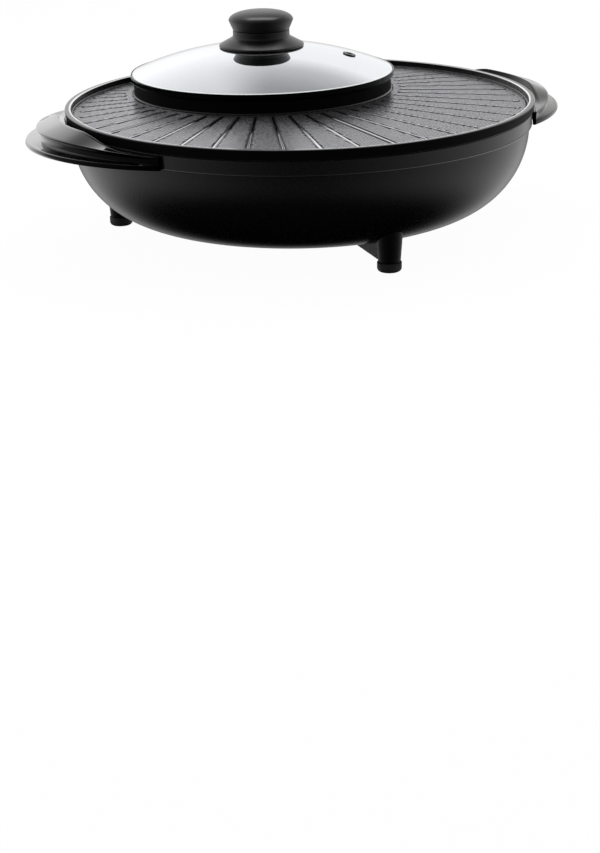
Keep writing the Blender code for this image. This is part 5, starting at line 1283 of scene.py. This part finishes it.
# Lid glass
# A shallow dome of tempered soda-lime glass with a ground edge, a hole for the knob's screw and one for the
# vent. It is clear from above, and at a low angle it mirrors the room more than it shows the pot.
GLASS_STEPS = 24
SCREW_BORE = 3.1 * MM
VENT_CIRCLE = 80.0 * MM
VENT_ANGLE = -30.0
EYELET_BORE = 3.0 * MM
EYELET_WALL = 0.8 * MM
EYELET_FLANGE = 6.0 * MM
EYELET_SHEET = 0.7 * MM
GLASS_EDGE = 1.2 * MM
GLASS_TINT = "#F1F3F8"
OUTLINE_GREY = "#101214"
MIRROR_ASLANT = (0.3, 0.42, 0.02, 0.93)
OUTLINE_ASLANT = (0.88, 0.95)
CLEAR_GLASS = {"colour": GLASS_TINT, "rough": (0.02, 0.02), "IOR": 1.52, "Transmission Weight": 1.0}
GROUND_GLASS = {"colour": "#E6ECEA", "rough": (0.4, 0.5), "grain": 0.6 * MM}
EYELET_STEEL = {"colour": "#626466", "rough": (0.3, 0.4), "grain": 1.0 * MM, "Metallic": 1.0}

glass_width = GLASS_EDGE_RADIUS - SCREW_BORE
radii = [SCREW_BORE + glass_width * step / GLASS_STEPS for step in range(GLASS_STEPS + 1)]
glass_outline = [(radius, dome_height(radius), 0.0) for radius in radii[:-1]]
glass_outline.append((radii[-1], dome_height(radii[-1]), GLASS_EDGE))
glass_outline.append((radii[-1], dome_height(radii[-1], GLASS_WALL), GLASS_EDGE))
glass_outline += [(radius, dome_height(radius, GLASS_WALL), 0.0) for radius in reversed(radii[:-1])]
glass = turned("domed_glass", glass_outline, LID_STEPS, pot_axis)

vent_lean = math.asin(VENT_CIRCLE / dome_radius)
vent_axis = polar(math.sin(vent_lean), VENT_ANGLE, math.cos(vent_lean))
vent_place = polar(VENT_CIRCLE, VENT_ANGLE, dome_height(VENT_CIRCLE)) + Vector((0.0, POT_OFFSET, 0.0))
vent_frame = Matrix.Translation(vent_place) @ lean_along(vent_axis)
hole_radius = EYELET_BORE + EYELET_WALL + GAP
hole_outline = [(0.0, GLASS_WALL, 0.0), (hole_radius, GLASS_WALL, 0.0)]
hole_outline += [(hole_radius, -2 * GLASS_WALL, 0.0), (0.0, -2 * GLASS_WALL, 0.0)]
hole = turned("vent_hole", hole_outline, SCREW_STEPS)
hole.data.transform(vent_frame)
boolean(glass, hole, "DIFFERENCE")

# Clear glass. The more it is seen from the side, the more of the room it mirrors. Right at its outline the
# light goes far through the glass, which draws a thin dark line there.
clear_glass = finish("tempered_glass", **CLEAR_GLASS)
glass_tree = clear_glass.node_tree
feed(clear_glass, "Metallic", aslant(glass_tree, *MIRROR_ASLANT))
at_outline = aslant(glass_tree, *OUTLINE_ASLANT)
feed(clear_glass, "Base Color", blend(glass_tree, at_outline, GLASS_TINT, OUTLINE_GREY))
clad(glass, clear_glass)


def on_glass_edge(face):
    """Whether a face of the glass belongs to its ground edge."""
    return off_axis(face.calc_center_median(), POT_OFFSET) > GLASS_EDGE_RADIUS - GLASS_EDGE


# The ground edge of the glass: frosted, so it takes the light as a thin pale ring.
coat(glass, finish("ground_glass_edge", **GROUND_GLASS), on_glass_edge)
dress(glass, "lid", "lid_glass", "lid_glass")

flange_top = GAP + EYELET_SHEET
flange_under = -GLASS_WALL - 2 * GAP
eyelet_outline = [
    (EYELET_BORE, flange_top, 0.0),
    (EYELET_FLANGE, flange_top, EYELET_SHEET / 2),
    (EYELET_FLANGE, GAP, 0.0),
    (EYELET_BORE + EYELET_WALL, GAP, 0.0),
    (EYELET_BORE + EYELET_WALL, flange_under, 0.0),
    (EYELET_FLANGE - EYELET_SHEET, flange_under, 0.0),
    (EYELET_FLANGE - EYELET_SHEET, flange_under - EYELET_SHEET, EYELET_SHEET / 2),
    (EYELET_BORE, flange_under - EYELET_SHEET, 0.0),
]
eyelet = turned("rolled_eyelet", eyelet_outline, SCREW_STEPS)
eyelet.data.transform(vent_frame)
clad(eyelet, finish("dull_stainless", **EYELET_STEEL))
dress(eyelet, "lid", "lid_steel", "vent_eyelet")


# Knob
# Two phenolic mouldings, a flared heat guard and a domed cap, drawn together by one screw through the glass.
# Under the glass the screw pulls on a steel cup washer, with a silicone gasket between.
KNOB_STEPS = 128
GUARD_RADIUS = 38.6 * MM
GUARD_EDGE = 1.5 * MM
GUARD_TOP = 156.7 * MM
NECK_RADIUS = 25.7 * MM
NECK_TOP = 162.5 * MM
HUB_RADIUS = 12.0 * MM
CAP_FOOT_RADIUS = 25.5 * MM
CAP_RADIUS = 29.3 * MM
CAP_BASE = 162.8 * MM
CAP_BELLY = 171.3 * MM
CAP_TOP = 180.0 * MM
CAP_POWER = 2.5
CAP_STEPS = 20
KNOB_SCREW_RADIUS = 2.8 * MM
KNOB_WELL = 8.3 * MM
CUP_RADIUS = 26.0 * MM
CUP_DEPTH = 7.5 * MM
CUP_WALL = 1.2 * MM
CUP_EDGE = 2.0 * MM
GASKET_RADIUS = 8.0 * MM
KNOB_PLASTIC = {"colour": "#060606", "rough": (0.28, 0.36), "grain": 1.5 * MM, "relief": 0.002 * MM}
STAINLESS = {"colour": "#BEBFC2", "rough": (0.08, 0.18), "grain": 4.0 * MM, "Metallic": 1.0}
SILICONE = {"colour": "#9A9A98", "rough": (0.5, 0.7), "grain": 2.0 * MM, "relief": 0.02 * MM}

guard_bottom = dome_height(GUARD_RADIUS) + 2 * GAP
guard_base = dome_height(HUB_RADIUS) + 2 * GAP
guard_outline = [
    (KNOB_SCREW_RADIUS, NECK_TOP, 0.0),
    (NECK_RADIUS, NECK_TOP, GAP),
    (NECK_RADIUS, GUARD_TOP, GUARD_EDGE),
    (GUARD_RADIUS, guard_bottom + GUARD_EDGE, GUARD_EDGE / 2),
    (GUARD_RADIUS, guard_bottom, GAP),
    (GUARD_RADIUS - GUARD_EDGE, guard_bottom, 0.0),
    (NECK_RADIUS - GUARD_EDGE, GUARD_TOP - GUARD_EDGE, 0.0),
    (HUB_RADIUS, GUARD_TOP - GUARD_EDGE, 0.0),
    (HUB_RADIUS, guard_base, 0.0),
    (KNOB_SCREW_RADIUS, guard_base, 0.0),
]
guard = turned("moulded_guard", guard_outline, KNOB_STEPS, pot_axis)
cap_outline = [(0.0, CAP_TOP, 0.0)]
for cosine, sine in quarter(CAP_STEPS)[1:]:
    across = sine ** (2 / CAP_POWER)
    cap_outline.append((CAP_RADIUS * across, CAP_BELLY + (CAP_TOP - CAP_BELLY) * cosine, 0.0))
cap_outline += [
    (CAP_FOOT_RADIUS, CAP_BASE, GAP),
    (KNOB_SCREW_RADIUS, CAP_BASE, 0.0),
    (KNOB_SCREW_RADIUS, CAP_BASE + KNOB_WELL, 0.0),
    (0.0, CAP_BASE + KNOB_WELL, 0.0),
]
cap = turned("moulded_cap", cap_outline, KNOB_STEPS, pot_axis)

# Moulded phenolic from a satin mould.
knob_plastic = finish("satin_phenolic", **KNOB_PLASTIC)
for item, node in ((guard, "knob_guard"), (cap, "knob_cap")):
    clad(item, knob_plastic)
    dress(item, "lid", "satin_phenolic", node)

cup_top = dome_height(CUP_RADIUS, GLASS_WALL) - GAP
cup_floor = cup_top - CUP_DEPTH
cup_outline = [
    (CUP_RADIUS - CUP_WALL, cup_top, 0.0),
    (CUP_RADIUS, cup_top, 0.0),
    (CUP_RADIUS, cup_floor, CUP_EDGE),
    (KNOB_SCREW_RADIUS, cup_floor, 0.0),
    (KNOB_SCREW_RADIUS, cup_floor + CUP_WALL, 0.0),
    (CUP_RADIUS - CUP_WALL, cup_floor + CUP_WALL, CUP_EDGE / 2),
]
cup = turned("pressed_cup", cup_outline, KNOB_STEPS, pot_axis)

# Polished stainless: a mirror with faint hairlines from the buff.
clad(cup, finish("polished_stainless", **STAINLESS))
dress(cup, "lid", "lid_steel", "knob_cup_washer")

gasket_top = DOME_TOP - GLASS_WALL - 2 * GAP
gasket_bottom = cup_floor + CUP_WALL + GAP
gasket_outline = [
    (KNOB_SCREW_RADIUS, gasket_top, 0.0),
    (GASKET_RADIUS, gasket_top, GAP),
    (GASKET_RADIUS, gasket_bottom, GAP),
    (KNOB_SCREW_RADIUS, gasket_bottom, 0.0),
]
gasket = turned("silicone_gasket", gasket_outline, SCREW_STEPS, pot_axis)
clad(gasket, finish("grey_silicone", **SILICONE))
dress(gasket, "lid", "silicone", "knob_gasket")


# Studio
# A white table that runs into a white background, soft lamps above and beside the cooker, and darkness on the
# camera's side, so that black pieces keep black faces and bright outlines.
CAMERA_AZIMUTH = -24.202
CAMERA_ELEVATION = 13.088
CAMERA_DISTANCE = 1501.2 * MM
CAMERA_AIM_HEIGHT = 60.0 * MM
CAMERA_PITCH = 9.129
CAMERA_YAW = -0.217
CAMERA_ROLL = 1.180
FOCAL_PIXELS = 1666.0
PICTURE_HEIGHT = 853
SENSOR_MM = 36.0
FLOOR_SIZE = 12.0
FLOOR_PAINT = {"colour": "#F2F2F2", "rough": (0.9, 0.9)}
FLOOR_SHARE = 0.97
WHITE = hex_colour("#FFFFFF")
SOFT_LIGHT = 0.7

azimuth = math.radians(CAMERA_AZIMUTH)
elevation = math.radians(CAMERA_ELEVATION)
level_back = Vector((math.sin(azimuth), -math.cos(azimuth), 0.0))
back = level_back * math.cos(elevation) + up * math.sin(elevation)
right = (-back).cross(up).normalized()
view_frame = Matrix((right, right.cross(-back), back))
lean = Matrix.Identity(3)
for angle, axis in ((CAMERA_ROLL, "Z"), (CAMERA_YAW, "Y"), (CAMERA_PITCH, "X")):
    lean = lean @ Matrix.Rotation(math.radians(angle), 3, axis)
bpy.ops.object.camera_add()
camera = bpy.context.object
camera_place = back * CAMERA_DISTANCE + up * CAMERA_AIM_HEIGHT
camera.matrix_world = Matrix.Translation(camera_place) @ (lean @ view_frame).transposed().to_4x4()
camera.data.sensor_width = SENSOR_MM
camera.data.lens = FOCAL_PIXELS / PICTURE_HEIGHT * SENSOR_MM
bpy.context.scene.camera = camera

bpy.ops.object.select_all(action="DESELECT")
bpy.ops.mesh.primitive_plane_add(size=FLOOR_SIZE)
floor = bpy.context.object
floor.name = "table"
floor.visible_glossy = False


def calc(tree, operation, *values):
    """The result of a sum on links and numbers."""
    return add_node(tree, "Math", dict(enumerate(values)), operation=operation).outputs[0]


def seen_straight(tree):
    """1 for what the camera sees by itself or through clear pieces, and 0 for what lights or is mirrored."""
    rays = add_node(tree, "LightPath").outputs
    return calc(tree, "MAXIMUM", rays["Is Camera Ray"], rays["Is Transmission Ray"])


floor_paint = finish("white_table", **FLOOR_PAINT)
floor_tree = floor_paint.node_tree
glow = add_node(floor_tree, "Emission", {"Color": WHITE, "Strength": 1.0}).outputs[0]
lit = calc(floor_tree, "MULTIPLY", seen_straight(floor_tree), FLOOR_SHARE)
floor_mix = {"Fac": lit, 1: shader_of(floor_paint).outputs[0], 2: glow}
shown = add_node(floor_tree, "MixShader", floor_mix).outputs[0]
floor_tree.links.new(shown, floor_tree.nodes["Material Output"].inputs["Surface"])
floor.data.materials.append(floor_paint)

# The room that glossy pieces mirror. Each ramp has where it starts and ends, and most have their light at
# both: towards the camera, below the table, at its far end and its horizon, high up near and far, at a window
# on the left, and straight above.
CAMERA_SIDE = (-0.5, 1.0, 1.0, 0.02)
BELOW_TABLE = (-0.74, -0.36)
RIGHT_LIFT = 0.1
FAR_END = (-0.96, -0.82)
HORIZON = (-0.2, -0.05)
NEAR_FADE = (0.47, 0.7, 1.0, 0.36)
FAR_FADE = (0.6, 0.95, 0.62, 0.14)
WINDOW_SIDE = (-0.18, 0.02, 1.0, 0.0)
WINDOW_FADE = (0.3, 0.95, 1.15, 0.6)
OVERHEAD = (0.05, 0.25)

world = bpy.data.worlds.new("white_studio")
bpy.context.scene.world = world
world.use_nodes = True
tree = world.node_tree
tree.nodes.clear()
direction = add_node(tree, "TexCoord").outputs["Generated"]


def along(axis):
    """How far a direction into the room points along an axis."""
    pair = {0: direction, 1: axis}
    return add_node(tree, "VectorMath", pair, operation="DOT_PRODUCT").outputs["Value"]


def backdrop(colour, strength):
    """A background of a colour, which may be a link, and a strength."""
    return add_node(tree, "Background", {"Color": colour, "Strength": strength}).outputs[0]


def mix_value(share, first, second):
    """A share of the way from a first value to a second."""
    return add_node(tree, "Mix", {0: share, 2: first, 3: second}, data_type="FLOAT").outputs[0]


towards = along(level_back)
sideways = along((math.cos(azimuth), math.sin(azimuth), 0.0))
height = along(up)
lifted = calc(tree, "MULTIPLY_ADD", calc(tree, "MAXIMUM", sideways, 0.0), RIGHT_LIFT, height)
below = ramp(tree, lifted, *BELOW_TABLE, interpolation_type="SMOOTHSTEP")
level = calc(tree, "MULTIPLY", ramp(tree, towards, *CAMERA_SIDE), below)
table_side = calc(tree, "MAXIMUM", ramp(tree, towards, *FAR_END), ramp(tree, height, *HORIZON))
fading = calc(tree, "MAXIMUM", ramp(tree, height, *NEAR_FADE), ramp(tree, height, *FAR_FADE))
leftwards = ramp(tree, sideways, *WINDOW_SIDE, interpolation_type="SMOOTHSTEP")
upper = mix_value(leftwards, fading, ramp(tree, height, *WINDOW_FADE))
shaded = mix_value(ramp(tree, height, *OVERHEAD), 1.0, upper)
room = calc(tree, "MULTIPLY", calc(tree, "MULTIPLY", level, table_side), shaded)
is_mirrored = add_node(tree, "LightPath").outputs["Is Glossy Ray"]
room_mix = {"Fac": is_mirrored, 1: backdrop(WHITE, SOFT_LIGHT), 2: backdrop(room, 1.0)}
lit_world = add_node(tree, "MixShader", room_mix).outputs[0]
world_mix = {"Fac": seen_straight(tree), 1: lit_world, 2: backdrop(WHITE, 1.0)}
shown = add_node(tree, "MixShader", world_mix).outputs[0]
add_node(tree, "OutputWorld", {"Surface": shown})

# Each lamp has its place, its width and length, and its power.
LAMPS = {
    "overhead": ((170.0 * MM, 370.0 * MM, 1400.0 * MM), (1100.0 * MM, 500.0 * MM), 8.0),
    "left": ((-1500.0 * MM, 300.0 * MM, 700.0 * MM), (900.0 * MM, 900.0 * MM), 8.0),
    "right": ((1500.0 * MM, 500.0 * MM, 800.0 * MM), (900.0 * MM, 900.0 * MM), 12.0),
}
for name, (place, size, power) in LAMPS.items():
    bpy.ops.object.light_add(type="AREA", location=place)
    lamp = bpy.context.object
    lamp.name = name + "_lamp"
    lamp.data.shape = "RECTANGLE"
    lamp.data.size, lamp.data.size_y = size
    lamp.data.energy = power
    lamp.visible_glossy = name == "overhead"
    lamp.rotation_euler = (-Vector(place)).to_track_quat("-Z", "Y").to_euler()

bpy.context.scene.view_settings.view_transform = "Standard"
